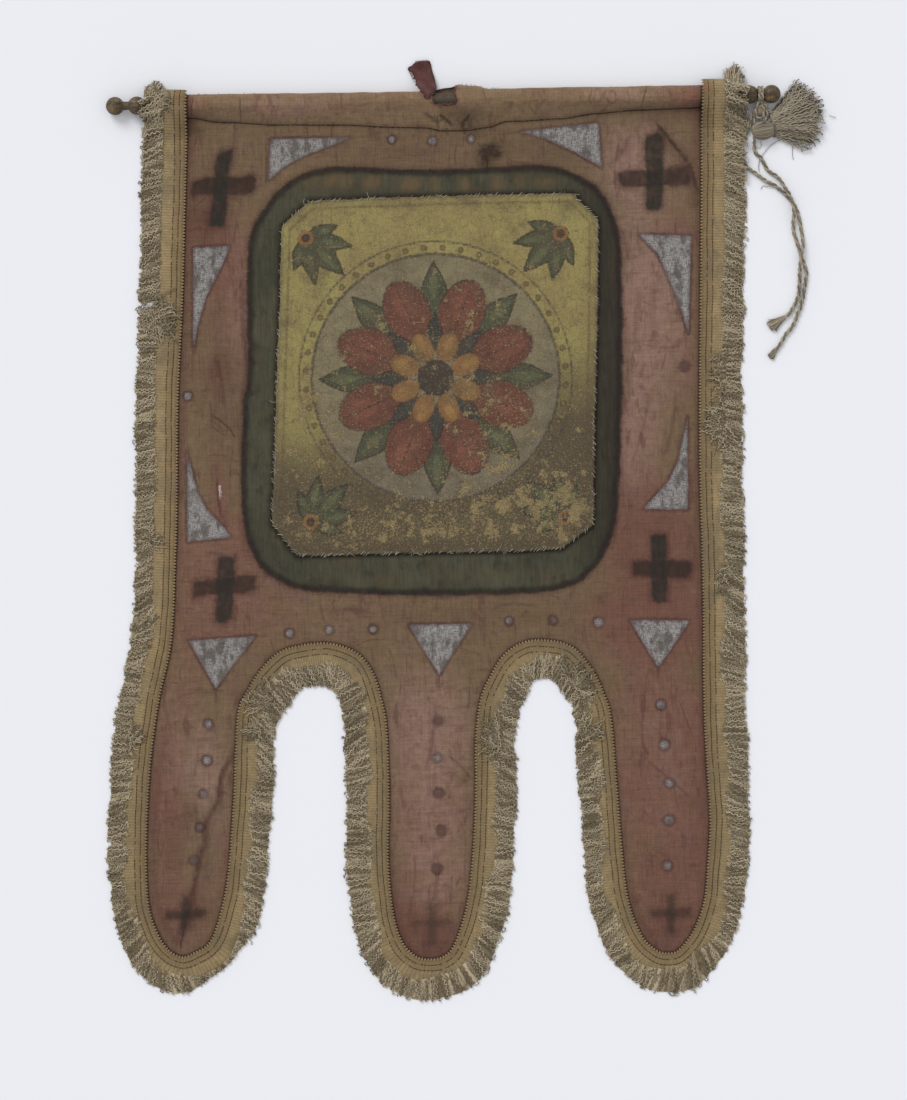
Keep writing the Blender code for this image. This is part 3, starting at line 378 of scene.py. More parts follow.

# Soft patches of the cloth's colour: middle, radii, and how much each one adds
# of madder red, of pale pink and of brown stain
Patch = namedtuple("Patch", "x y rx ry red pale stain")
PATCHES = (
    Patch(-255, 130, 45, 70, 0.75, 0.05, 0.0), Patch(-262, 176, 20, 34, 0.5, -0.3, 0.42),
    Patch(-228, 80, 16, 70, 0.25, 0.6, 0.0), Patch(-250, 10, 28, 30, 0.5, 0.1, 0.25),
    Patch(-240, -60, 24, 40, 0.2, 0.0, 0.15), Patch(-262, -260, 60, 70, 0.65, 0.1, 0.0),
    Patch(-245, -205, 40, 60, 0.5, 0.35, 0.0), Patch(-300, -60, 16, 160, 0.35, 0.15, 0.0),
    Patch(-130, -262, 90, 26, 0.35, 0.2, 0.0), Patch(0, -265, 90, 22, 0.0, 0.0, 0.15),
    Patch(110, -262, 70, 30, 0.15, 0.1, 0.1), Patch(225, -180, 60, 70, 0.95, -0.1, 0.1),
    Patch(225, -275, 70, 60, 0.9, 0.0, 0.05), Patch(218, 60, 36, 96, 0.0, 1.25, 0.0),
    Patch(205, 235, 40, 44, -0.5, 0.85, 0.0),
    Patch(262, 60, 16, 110, 0.6, 0.2, 0.0), Patch(205, -90, 26, 56, 0.35, 0.75, 0.0),
    Patch(225, 190, 60, 60, 0.15, 0.2, 0.0), Patch(272, 300, 22, 20, 0.7, 0.0, 0.05),
    # The pale strips along the sleeve's top over the rod are painted light
    Patch(-268, 300, 22, 18, 0.6, 0.05, 0.0), Patch(-180, 296, 60, 10, 0.1, 0.5, 0.0),
    Patch(195, 303, 70, 8, 0.1, 0.5, 0.0), Patch(-120, 292, 60, 9, 0.2, 0.2, 0.0),
    Patch(53, 244, 12, 8, -0.1, 0.0, 1.4), Patch(44, 236, 8, 11, 0.0, 0.0, 1.0),
    Patch(30, 275, 18, 13, 0.0, 0.0, 0.6), Patch(8, 284, 22, 8, 0.2, 0.0, 0.35),
    Patch(-50, 242, 70, 16, -0.2, 0.0, 0.2),
    Patch(120, 240, 60, 20, 0.0, 0.0, 0.25), Patch(-283, 262, 10, 60, 0.5, 0.0, 0.25),
    Patch(281, 240, 9, 80, 0.6, 0.0, 0.25), Patch(-300, -390, 40, 60, 0.55, 0.25, 0.0),
    Patch(-272, -440, 28, 70, -0.6, 0.55, 0.0), Patch(-318, -470, 26, 90, 0.7, 0.2, 0.0),
    Patch(-300, -590, 40, 40, 0.7, 0.1, 0.1), Patch(-255, -500, 16, 60, 0.6, 0.15, 0.05),
    Patch(-30, -380, 50, 70, 0.25, 0.75, 0.0), Patch(-28, -480, 50, 70, 0.5, 0.55, 0.0),
    Patch(-28, -560, 46, 50, 0.5, 0.5, 0.0), Patch(-30, -626, 40, 24, 1.0, -0.2, 0.2),
    Patch(220, -380, 60, 70, 0.7, 0.3, 0.0), Patch(228, -470, 56, 60, 0.8, 0.3, 0.0),
    Patch(226, -560, 50, 50, 0.9, 0.0, 0.05), Patch(232, -625, 40, 26, 0.9, -0.1, 0.2),
    Patch(268, -470, 16, 110, 0.8, 0.0, 0.1), Patch(-226, -400, 14, 60, 0.4, 0.0, 0.2),
    Patch(-253, -130, 10, 40, 0.7, 0.1, 0.05), Patch(-65, -600, 18, 60, 0.5, -0.1, 0.2),
    Patch(-292, -480, 12, 16, 0.1, -0.1, 0.3), Patch(-312, -520, 14, 30, 0.3, -0.1, 0.15),
    Patch(-224, -140, 10, 60, 0.5, -0.2, 0.15), Patch(250, 150, 40, 16, 0.5, 0.0, 0.1),
)

# Where the paint of the green band is worn to the brown cloth: middle, radii and strength
Worn = namedtuple("Worn", "x y rx ry strength")
WORN = (
    Worn(-150, 214, 22, 10, 0.4), Worn(-126, 217, 9, 9, 0.6), Worn(-108, 214, 8, 9, 0.8),
    Worn(-80, 212, 10, 8, 0.9), Worn(-38, 210, 12, 8, 1.0), Worn(-10, 208, 5, 8, 0.9),
    Worn(21, 208, 6, 9, 0.9), Worn(57, 209, 7, 9, 0.9), Worn(83, 210, 8, 8, 0.6),
    Worn(110, 209, 12, 7, 0.6), Worn(-213, 40, 9, 40, 0.15), Worn(-185, -10, 14, 60, 0.12),
    Worn(20, -222, 50, 8, 0.18), Worn(-100, -225, 40, 6, 0.15), Worn(186, 120, 5, 30, 0.12),
)

# Tear in the sleeve and the flap torn from it. Flap columns: y, left x, right x, height z.
TEAR = ((-12, 322), (-12.4, 302), (-10.4, 295.4), (1.8, 292.6), (12.8, 293.4), (15.8, 298),
        (13, 306), (13.2, 322))
TEAR_FLOOR = 5.5
FlapRow = namedtuple("FlapRow", "y left right z")
FLAP = (FlapRow(300.5, -20, -14, 19.4), FlapRow(304.5, -21, -13, 18.6),
        FlapRow(309.0, -24, -8, 16.8), FlapRow(314.0, -28, -7, 12.6), FlapRow(319.0, -30, -8, 8.4),
        FlapRow(325.0, -31, -9, 5.0), FlapRow(331.0, -34, -11, 3.0), FlapRow(336.5, -38, -12, 1.9),
        FlapRow(341.5, -32, -13, 2.4), FlapRow(343.5, -27, -14, 3.2))

# Tie ends, route points listed one by one. Columns are x, y and z of the cord's middle.
TIE_LONG = ((341.0, 248.5, 3.6), (341.5, 238.0, 2.5), (348.5, 230.5, 2.5), (355.0, 218.0, 2.5),
            (366.5, 209.0, 3.4), (372.5, 199.0, 6.4), (377.5, 190.5, 7.4), (382.0, 178.0, 7.4),
            (382.6, 168.5, 6.8), (382.0, 158.0, 3.4), (382.8, 148.0, 2.5), (387.0, 134.0, 2.5),
            (390.6, 121.0, 2.5), (394.4, 111.0, 2.5), (395.8, 103.0, 2.5), (393.6, 90.0, 2.5),
            (391.6, 78.0, 2.5), (388.6, 67.0, 2.5), (384.8, 58.0, 2.5), (379.6, 46.0, 2.5),
            (371.0, 35.5, 2.5), (365.5, 26.0, 2.5), (360.0, 19.5, 2.5))
TIE_SHORT = ((341.5, 275.5, 6.0), (337.0, 267.5, 3.4), (331.5, 257.0, 2.5), (326.0, 246.0, 2.5),
             (325.5, 233.0, 2.5), (332.0, 222.0, 2.5), (343.0, 213.5, 2.5), (352.5, 206.0, 2.5),
             (362.0, 201.0, 2.5), (370.5, 194.0, 2.5), (378.0, 186.5, 2.5), (384.6, 177.0, 2.5),
             (388.6, 165.0, 2.5), (390.6, 152.0, 2.5), (392.2, 139.0, 4.0), (391.4, 129.0, 6.6),
             (389.6, 120.0, 7.4), (388.4, 110.5, 5.6), (388.2, 101.0, 2.8), (387.6, 90.0, 2.5),
             (386.0, 78.0, 2.5), (381.6, 68.5, 2.5), (377.6, 61.6, 2.5), (373.6, 57.6, 2.5),
             (369.6, 54.9, 2.5))

# Frayed ends of the ties: root, tip, root radius, half width at the tip, number of yarns
Brush = namedtuple("Brush", "name node cord root tip root_r tip_w yarns")
BRUSHES = (
    Brush("tie_long_fray", "tie_long_end", "tie_long_cord", (359.7, 19.15), (353.6, 11.8), 1.7,
          2.6, 26),
    Brush("tie_short_fray", "tie_short_end", "tie_short_cord", (369.2, 54.62), (354.0, 45.5), 1.8,
          5.4, 34),
)

# Upright tufts of fringe at the top ends of the trim
TopTuft = namedtuple("TopTuft", "seed foot half_spread tall width")
TOP_TUFTS = {
    "left_top": TopTuft(40, (-317.0, 313.0), 0.45, 18.0, 11.0),
    "right_top": TopTuft(42, (318.0, 312.0), 0.36, 28.0, 9.0),
}
TOP_TUFT_YARNS = 150
TOP_TUFT_TURN = math.radians(80.0)

# Orange stains on the trim beside the rod's ends: x, y and size
RUST = ((-285, 303, 7), (-289, 311, 4), (289, 306, 6), (292, 301, 4))

# Points across the gimp, in mm out from the cloth's visible edge; the first is the picot edge
HEADING_COLUMNS = (-0.4, 1.6, 3.4, 5.5, 8.4, 11.5, 14.5, 19.0, 24.0, HEADING_W)

# Radius of the yarns at the root and tip of the fringe, and of the thrown and upright ones
YARN_R = (0.68, 0.58)
LOOSE_YARN_R = 0.62

# Panel: middle of the ornament, and places rubbed to the canvas (x, y, radii and strength)
ORNAMENT_MIDDLE = (-14.0, -4.0)
ROUNDEL_R = 136.0
BEADS = 44
BEADS_R = 143.0
PETALS = 8
RUBBED = ((-150, -60, 40, 50, 0.7), (60, -150, 90, 40, 1.0), (-90, -170, 80, 24, 0.9),
          (60, -60, 50, 60, 0.6), (40, 60, 40, 30, 0.5), (-40, 160, 60, 20, 0.2),
          (130, -150, 30, 40, 0.8), (-60, 20, 60, 50, 0.25), (-120, 60, 40, 50, 0.3))

# Strands of the knot at the rod's neck: ply radius and route. Columns are x, y and z.
Strand = namedtuple("Strand", "ply_r route")
KNOT_STRANDS = (
    Strand(0.95, ((348.0, 293.0, 13.0), (343.6, 287.0, 12.4), (342.6, 279.0, 11.2),
                  (345.6, 273.4, 12.6), (349.8, 275.0, 13.4), (351.0, 282.0, 13.0),
                  (348.6, 291.0, 13.6))),
    Strand(0.8, ((350.6, 292.0, 12.6), (354.0, 285.0, 10.6), (354.4, 276.0, 10.8),
                 (350.0, 268.6, 14.6))),
    Strand(0.8, ((346.0, 291.0, 12.4), (341.6, 283.0, 8.6), (337.0, 273.0, 6.4),
                 (333.0, 264.0, 4.6))),
    Strand(0.95, ((347.0, 288.0, 9.0), (343.0, 278.0, 7.4), (340.6, 268.0, 8.4),
                  (340.4, 258.0, 7.6), (341.0, 249.0, 4.4))),
    Strand(0.8, ((352.0, 290.0, 8.0), (357.0, 283.0, 7.6), (360.0, 276.0, 9.0),
                 (357.0, 270.0, 13.0))),
)
KNOT_TURNS = 9

# Tassel
TASSEL_HEAD = (12.4, 10.0, 6.8)
HEAD_YARNS = 36
SKIRT_YARNS = 360

# Stray threads round the tassel and the ties. Columns are x, y and z.
STRAYS = (
    ((379.0, 257.0, 3.0), (371.0, 251.5, 1.2), (359.8, 245.2, 0.8), (349.6, 234.2, 1.0),
     (345.8, 225.4, 0.9), (345.6, 216.4, 1.2)),
    ((386.0, 253.0, 3.0), (383.4, 243.8, 1.0), (382.8, 234.0, 0.8), (383.8, 228.6, 1.0)),
    ((347.6, 250.0, 2.4), (348.8, 245.6, 1.6), (346.8, 241.8, 1.0), (344.6, 243.4, 1.2)),
    ((362.0, 200.0, 3.2), (354.0, 199.6, 1.2), (349.8, 200.8, 0.8), (347.4, 196.8, 0.8)),
    ((424.0, 276.0, 3.0), (428.0, 275.0, 1.6), (431.0, 274.2, 1.2)),
)

# Floor and lights, in metres; a light's angle is its apparent size in degrees
FLOOR_HALF = 4.0
FLOOR_LEVEL = -0.0003
ROOM_LIGHT = 0.64
Light = namedtuple("Light", "name place angle power")
LIGHTS = (Light("key", (-1.0, 1.5, 1.7), 30.0, 1.45), Light("fill", (1.0, -0.5, 2.5), 60.0, 0.18))


def scaled(x, y, z=0.0):
    """A point given in millimetres, in metres."""
    return Vector((x * MM, y * MM, z * MM))


def tone(red, green, blue):
    """A screen colour, each channel from 0 to 255, as linear light."""
    linear = []
    for channel in (red, green, blue):
        c = channel / 255.0
        linear.append(c / 12.92 if c <= 0.04045 else ((c + 0.055) / 1.055) ** 2.4)
    return tuple(linear)


def smooth_step(t):
    """Ease from 0 to 1 as t goes from 0 to 1, for a number or an array."""
    t = np.clip(t, 0.0, 1.0)
    return t * t * (3.0 - 2.0 * t)


def table_value(rows, x):
    """Read a two-column table at x, eased between its rows, for a number or an array."""
    x = np.asarray(x, dtype=float)
    value = np.full(x.shape, float(rows[0][1]))
    for (x0, v0), (x1, v1) in zip(rows, rows[1:]):
        value = np.where(x > x0, v0 + (v1 - v0) * smooth_step((x - x0) / (x1 - x0)), value)
    return value


def smooth_curve(points, steps, closed=False):
    """Points along the Catmull-Rom curve through the given points, as an array."""
    knots = [np.array(p, dtype=float) for p in points]
    if closed:
        knots = [knots[-1]] + knots + knots[:2]
    else:
        knots = [knots[0] * 2.0 - knots[1]] + knots + [knots[-1] * 2.0 - knots[-2]]
    curve = []
    for a, b, c, d in zip(knots, knots[1:], knots[2:], knots[3:]):
        for i in range(steps):
            t = i / steps
            curve.append(0.5 * (2.0 * b + (c - a) * t + (2.0 * a - 5.0 * b + 4.0 * c - d) * t * t
                                + (3.0 * b - a - 3.0 * c + d) * t * t * t))
    if not closed:
        curve.append(knots[-2])
    return np.array(curve)


def lengths_along(curve):
    """Distance from the start to each point of a polyline."""
    return np.concatenate([[0.0], np.cumsum(np.linalg.norm(np.diff(curve, axis=0), axis=1))])


def along_curve(curve, distances):
    """Points at the given distances along a polyline."""
    lengths = lengths_along(curve)
    return np.stack([np.interp(distances, lengths, curve[:, k]) for k in range(curve.shape[1])],
                    axis=-1)


def evenly(curve, step):
    """The polyline again, with points about one step apart."""
    total = lengths_along(curve)[-1]
    count = max(2, round(total / step))
    return along_curve(curve, np.linspace(0.0, total, count + 1))


def distance_to(points, route, closed=False):
    """Distance in plan from each point to a polyline."""
    route = np.array(route, dtype=float)[:, :2]
    if closed:
        route = np.vstack([route, route[:1]])
    best = np.full(len(points), 1e9)
    for a, b in zip(route, route[1:]):
        along = b - a
        part = np.clip((points - a) @ along / (along @ along), 0.0, 1.0)
        away = points - a - part[:, None] * along
        best = np.minimum(best, np.hypot(away[:, 0], away[:, 1]))
    return best


def inside(points, outline):
    """True for each point that is inside a closed outline."""
    outline = np.array(outline, dtype=float)[:, :2]
    within = np.zeros(len(points), dtype=bool)
    for a, b in zip(outline, np.roll(outline, -1, axis=0)):
        if a[1] != b[1]:
            crosses = (a[1] > points[:, 1]) != (b[1] > points[:, 1])
            edge_x = a[0] + (b[0] - a[0]) * (points[:, 1] - a[1]) / (b[1] - a[1])
            within ^= crosses & (points[:, 0] < edge_x)
    return within


def signed_distance(points, outline):
    """Distance to a closed outline, negative inside it."""
    away = distance_to(points, outline, closed=True)
    return np.where(inside(points, outline), -away, away)


EDGE_CURVE = smooth_curve([p for stretch in EDGE.values() for p in stretch], EDGE_STEPS)
EDGE_LENGTHS = lengths_along(EDGE_CURVE)
EDGE_TOTAL = EDGE_LENGTHS[-1]
EDGE_EVEN_RUN = 8.0


def stretch_start(name):
    """Distance along the edge at which a stretch of EDGE starts."""
    before = 0
    for key, rows in EDGE.items():
        if key == name:
            return EDGE_LENGTHS[before * EDGE_STEPS]
        before += len(rows)
    return EDGE_TOTAL


STRETCH_NAMES = list(EDGE)
STRETCH_STARTS = [stretch_start(name) for name in STRETCH_NAMES] + [EDGE_TOTAL]


def along_stretches(table, s):
    """Read a table of start and end values for each stretch at distances along the edge."""
    value = np.full(np.shape(s), table[STRETCH_NAMES[-1]].end, dtype=float)
    for i, name in enumerate(STRETCH_NAMES):
        low, high = STRETCH_STARTS[i], STRETCH_STARTS[i + 1]
        here = (s >= low) & (s <= high)
        ends = table[name]
        inner = ends.start + (ends.end - ends.start) * (s - low) / (high - low)
        value = np.where(here, inner, value)
    return value


def edge_frame(s):
    """Points at distances along the edge, and the plan normal that points away from the cloth."""
    s = np.asarray(s, dtype=float)
    place = along_curve(EDGE_CURVE, s)
    ahead = along_curve(EDGE_CURVE, np.minimum(s + EDGE_EVEN_RUN, EDGE_TOTAL))
    behind = along_curve(EDGE_CURVE, np.maximum(s - EDGE_EVEN_RUN, 0.0))
    run = ahead - behind
    run /= np.linalg.norm(run, axis=1)[:, None]
    return place, np.stack([run[:, 1], -run[:, 0]], axis=1)


def cloth_outline():
    """Outer edge of the sheet, which runs on under the trim as far as the lap."""
    s = np.linspace(0.0, EDGE_TOTAL, round(EDGE_TOTAL / 6.0))
    place, out = edge_frame(s)
    return place + out * LAP


CLOTH_OUTLINE = cloth_outline()


def folds_height(points, folds):
    """Height that a list of folds adds at each point."""
    height = np.zeros(len(points))
    for fold in folds:
        near = distance_to(points, smooth_curve(fold.route, 5)) / fold.half_width
        height += fold.height * np.clip(1.0 - near * near, 0.0, 1.0) ** 2
    return height


def ripple(points, size, seed):
    """Smooth noise from -1 to 1 at plan points, one wave about the given size."""
    return np.array([noise.noise(Vector((x / size, y / size, seed))) for x, y in points])


def cloth_height(points):
    """Height of the sheet at plan points: its folds, creases and slight unevenness."""
    seam = table_value(SEAM, points[:, 0])
    lift = SEAM_LIFT * smooth_step((points[:, 1] - seam + SEAM_RAMP) / (SEAM_RAMP - 3.0))
    edge_fade = smooth_step((distance_to(points, CLOTH_OUTLINE[::3]) - LAP) / 10.0)
    below_seam = smooth_step((seam - points[:, 1]) / 5.0)
    lift += edge_fade * folds_height(points, FOLDS) * below_seam
    lift += edge_fade * folds_height(points, CREASES)
    loose = np.clip(edge_fade, 0.25, 1.0) * below_seam
    lift += loose * (0.45 * ripple(points, 34.0, 3.0) + 0.22 * ripple(points, 11.0, 8.0))
    return np.maximum(lift + CLOTH_MID, 0.25)


def trim_support(points):
    """Height of what the trim lies on beyond the cloth: the surface, the rod or a tie."""
    off = points[:, 1] - ROD_Y
    beyond = TRIM_CREST - TRIM_FALL * ((off - TRIM_CREST_HALF) / TRIM_FALL_RUN) ** 2
    before = TRIM_CREST * smooth_step((off + TRIM_RISE) / (TRIM_RISE - TRIM_CREST_HALF))
    rise = np.where(off > TRIM_CREST_HALF, np.maximum(0.0, beyond), before)
    over_tie = (points[:, 0] > 300.0) & (points[:, 1] > 200.0)
    near = distance_to(points, TIE_SHORT[1:8])
    lift = TIE_LIFT * smooth_step((TIE_FAR - near) / (TIE_FAR - TIE_NEAR))
    return np.where(over_tie, np.maximum(rise, lift), rise)


class Graph:
    """Short calls that build the nodes of one material."""

    def __init__(self, name, roughness=0.9, specular=0.25, sheen=0.0):
        self.material = bpy.data.materials.new(name)
        self.material.use_nodes = True
        self.tree = self.material.node_tree
        self.shader = self.tree.nodes["Principled BSDF"]
        self.shader.inputs["Roughness"].default_value = roughness
        self.shader.inputs["Specular IOR Level"].default_value = specular
        self.shader.inputs["Sheen Weight"].default_value = sheen
        self.shader.inputs["Sheen Roughness"].default_value = 0.5

    def node(self, kind, **settings):
        made = self.tree.nodes.new(kind)
        for key, value in settings.items():
            setattr(made, key, value)
        return made

    def plug(self, socket, value):
        """Set a socket to a number or colour, or link it to another node's output."""
        if isinstance(value, bpy.types.NodeSocket):
            self.tree.links.new(value, socket)
        elif isinstance(value, tuple) and len(value) == 3 and socket.type == "RGBA":
            socket.default_value = (*value, 1.0)
        else:
            socket.default_value = value

    def math(self, operation, a, b=0.0, clamp=False):
        made = self.node("ShaderNodeMath", operation=operation, use_clamp=clamp)
        self.plug(made.inputs[0], a)
        self.plug(made.inputs[1], b)
        return made.outputs[0]

    def add(self, a, b):
        return self.math("ADD", a, b)

    def times(self, a, b):
        return self.math("MULTIPLY", a, b)

    def attribute(self, name):
        made = self.node("ShaderNodeAttribute", attribute_type="GEOMETRY", attribute_name=name)
        return made.outputs["Fac"]

    def place(self, scales=(1.0, 1.0, 1.0)):
        """The object's own coordinates in millimetres, stretched by the given scales."""
        coordinates = self.node("ShaderNodeTexCoord")
        made = self.node("ShaderNodeVectorMath", operation="MULTIPLY")
        self.plug(made.inputs[0], coordinates.outputs["Object"])
        self.plug(made.inputs[1], tuple(1000.0 * s for s in scales))
        return made.outputs[0]

    def coordinate(self, axis):
        """One of the object's own coordinates, in millimetres."""
        parts = self.node("ShaderNodeSeparateXYZ")
        self.plug(parts.inputs[0], self.place())
        return parts.outputs[axis]

    def noise(self, scales, detail=2.0, roughness=0.55, distortion=0.0):
        """Noise from 0 to 1 whose waves per millimetre along each axis are the given scales."""
        made = self.node("ShaderNodeTexNoise")
        self.plug(made.inputs["Vector"], self.place(scales))
        self.plug(made.inputs["Scale"], 1.0)
        self.plug(made.inputs["Detail"], detail)
        self.plug(made.inputs["Roughness"], roughness)
        self.plug(made.inputs["Distortion"], distortion)
        return made.outputs["Fac"]

    def even_noise(self, scale, detail=2.0, roughness=0.55):
        return self.noise((scale, scale, scale), detail, roughness)

    def fade(self, value, start, end, low=0.0, high=1.0):
        """Ease from low to high as the value goes from start to end."""
        made = self.node("ShaderNodeMapRange", interpolation_type="SMOOTHSTEP")
        self.plug(made.inputs["Value"], value)
        self.plug(made.inputs["From Min"], start)
        self.plug(made.inputs["From Max"], end)
        self.plug(made.inputs["To Min"], low)
        self.plug(made.inputs["To Max"], high)
        return made.outputs["Result"]

    def mix(self, factor, a, b, blend="MIX"):
        made = self.node("ShaderNodeMix", data_type="RGBA", blend_type=blend, clamp_factor=True)
        self.plug(made.inputs[0], factor)
        self.plug(made.inputs[6], a)
        self.plug(made.inputs[7], b)
        return made.outputs[2]

    def tint(self, base, value, start, end, most, colour):
        """Lay a screen colour over the base: none of it at the start value, most at the end."""
        return self.mix(self.fade(value, start, end, 0.0, most), base, tone(*colour))

    def brighten(self, colour, factor):
        made = self.node("ShaderNodeVectorMath", operation="SCALE")
        self.plug(made.inputs[0], colour)
        self.plug(made.inputs["Scale"], factor)
        return made.outputs[0]

    def vary(self, value, amount, middle=1.0):
        """Turn noise from 0 to 1 into a factor that varies about its middle value."""
        return self.add(self.times(value, 2.0 * amount), middle - amount)

    def bump(self, height, distance, strength=1.0):
        made = self.node("ShaderNodeBump")
        self.plug(made.inputs["Strength"], strength)
        self.plug(made.inputs["Distance"], distance)
        self.plug(made.inputs["Height"], height)
        self.plug(self.shader.inputs["Normal"], made.outputs["Normal"])

    def colour(self, value):
        self.plug(self.shader.inputs["Base Color"], value)

    def weave(self, pitch):
        """Height of a plain weave from 0 to 1, with the given distance between threads."""
        parts = self.node("ShaderNodeSeparateXYZ")
        self.plug(parts.inputs[0], self.place((math.tau / pitch, math.tau / pitch, 1.0)))
        warp = self.math("SINE", parts.outputs["X"])
        weft = self.math("SINE", parts.outputs["Y"])
        return self.vary(self.math("ABSOLUTE", self.math("SUBTRACT", warp, weft)), 0.25, 0.25)


def cloth_material():
    """Faded plain-weave cloth with its painted band, marks and crosses, and painted shade and
    light.
    """
    g = Graph("faded_banner_cloth", roughness=0.92, specular=0.15, sheen=0.12)
    warp = g.noise((0.75, 0.03, 0.2), detail=2.0)
    weft = g.noise((0.03, 0.75, 0.2), detail=2.0)
    grain = g.even_noise(0.75, detail=2.0)
    blotch = g.even_noise(0.05, detail=5.0, roughness=0.6)
    mottle = g.even_noise(0.14, detail=4.0, roughness=0.65)
    cloud = g.even_noise(0.014, detail=4.0)
    drift = g.even_noise(0.028, detail=5.0, roughness=0.6)
    wrinkle_relief_and_shade = g.noise((0.11, 0.025, 0.1), detail=3.0, distortion=1.2)
    cross_wrinkle_relief_and_shade = g.noise((0.03, 0.09, 0.1), detail=4.0, distortion=1.6)

    red = g.add(g.attribute("red"), g.vary(cloud, 0.7, 0.0))
    base = g.mix(g.fade(red, 0.0, 1.0), tone(114, 94, 71), tone(115, 80, 67))
    pale = g.add(g.attribute("pale"), g.vary(blotch, 0.8, 0.0))
    base = g.mix(g.fade(pale, 0.05, 1.0), base, tone(139, 111, 97))
    base = g.tint(base, drift, 0.54, 0.72, 0.5, (112, 88, 82))
    base = g.tint(base, drift, 0.46, 0.30, 0.4, (104, 84, 58))
    base = g.tint(base, blotch, 0.52, 0.72, 0.55, (90, 66, 54))
    base = g.tint(base, blotch, 0.46, 0.28, 0.4, (134, 106, 88))
    # Painted shade in the small folds: darker where the two fold noises are high, which also raise
    # the bump below
    base = g.tint(base, wrinkle_relief_and_shade, 0.54, 0.70, 0.55, (92, 62, 54))
    base = g.tint(base, cross_wrinkle_relief_and_shade, 0.56, 0.72, 0.45, (94, 66, 55))
    base = g.brighten(base, g.vary(warp, 0.26))
    base = g.brighten(base, g.vary(weft, 0.26))
    base = g.brighten(base, g.vary(mottle, 0.22))
    base = g.brighten(base, g.vary(grain, 0.30))

    # Painted light: the sleeve over the rod is brightened up to 1.4 times, the rest of the cloth
    # 1.09 times
    base = g.brighten(base, g.fade(g.attribute("sleeve"), 0.0, 1.0, 1.09, 1.4))
    stain = g.times(g.attribute("stain"), g.fade(mottle, 0.3, 0.65, 0.45, 1.25))
    base = g.mix(stain, base, tone(64, 51, 40))
    specks = g.fade(g.even_noise(0.24, 3.0, 0.7), 0.69, 0.76, 0.0, 0.55)
    base = g.mix(specks, base, tone(72, 56, 45))

    # Plum and dark lines: painted shade along folds, and lines of dye and dirt
    ragged = g.add(g.vary(grain, 0.5, 0.0), g.vary(mottle, 1.4, 0.0))
    plum = g.math("ABSOLUTE", g.add(g.attribute("plum"), ragged))
    plum = g.times(g.fade(plum, 2.0, 0.0), g.attribute("plum_strength"))
    base = g.mix(g.times(plum, g.fade(mottle, 0.3, 0.7, 0.6, 1.1)), base, tone(82, 51, 47))
    dark = g.math("ABSOLUTE", g.add(g.attribute("dark"), ragged))
    dark = g.times(g.fade(dark, 1.4, 0.2), g.attribute("dark_strength"))
    base = g.mix(dark, base, tone(54, 42, 34))

    wobble = g.add(g.vary(blotch, 3.0, 0.0), g.vary(grain, 1.6, 0.0))
    band = g.add(g.attribute("band"), wobble)
    paint = g.mix(g.fade(cloud, 0.35, 0.65), tone(80, 78, 62), tone(67, 66, 52))
    paint = g.tint(paint, drift, 0.50, 0.66, 0.6, (86, 76, 57))
    paint = g.tint(paint, blotch, 0.50, 0.68, 0.6, (54, 52, 43))
    paint = g.mix(g.attribute("band_dark"), paint, tone(52, 46, 38))
    paint = g.brighten(paint, g.vary(g.noise((0.25, 0.05, 0.1), 3.0), 0.42))
    paint = g.brighten(paint, g.vary(warp, 0.3))
    paint = g.brighten(paint, g.vary(grain, 0.2))
    worn = g.times(g.attribute("worn"), g.fade(g.noise((0.2, 0.07, 0.1), 4.0), 0.3, 0.6, 0.7, 1.6))
    paint = g.mix(worn, paint, tone(101, 85, 61))
    halo = g.times(g.fade(band, 9.0, 0.0, 0.0, 0.62), g.fade(drift, 0.35, 0.6, 0.5, 1.0))
    base = g.mix(halo, base, tone(68, 42, 40))
    base = g.mix(g.fade(band, 1.4, -1.4), base, paint)
    rim = g.times(g.fade(band, -8.0, -1.5), g.fade(band, 3.8, 0.6))
    base = g.mix(g.times(rim, g.fade(mottle, 0.3, 0.65, 0.92, 0.72)), base, tone(40, 33, 30))
    # Painted shadow on the cloth along the outside of the canvas's edge
    panel_gap_shadow = g.add(g.attribute("panel_gap"), g.vary(mottle, 2.4, 0.0))
    base = g.tint(base, panel_gap_shadow, 7.5, 0.4, 0.72, (37, 32, 27))

    bar_soft = g.attribute("cross_soft")
    strength = g.attribute("cross_strength")
    small_wobble = g.add(g.vary(mottle, 2.6, 0.0), g.vary(grain, 1.8, 0.0))
    across = g.math("DIVIDE", g.add(g.attribute("cross_bar"), small_wobble), bar_soft)
    upright = g.math("DIVIDE", g.add(g.attribute("cross_up"), small_wobble), bar_soft)
    ink = g.vary(g.noise((0.3, 0.08, 0.1), 3.0), 0.35)
    thin = g.fade(g.even_noise(0.09, 3.0), 0.3, 0.6, 0.78, 1.0)
    strength = g.times(strength, thin)
    aura = g.math("MINIMUM", across, upright)
    base = g.mix(g.times(strength, g.fade(aura, 3.4, 0.0, 0.0, 0.5)), base, tone(78, 47, 44))
    base = g.mix(g.times(strength, g.fade(across, 1.0, -1.0, 0.0, 0.93)), base,
                 g.brighten(tone(59, 44, 38), ink))
    green = g.mix(g.fade(mottle, 0.4, 0.6), tone(46, 46, 39), tone(50, 42, 37))
    base = g.mix(g.times(strength, g.fade(upright, 1.0, -1.0, 0.0, 0.95)), base,
                 g.brighten(green, ink))

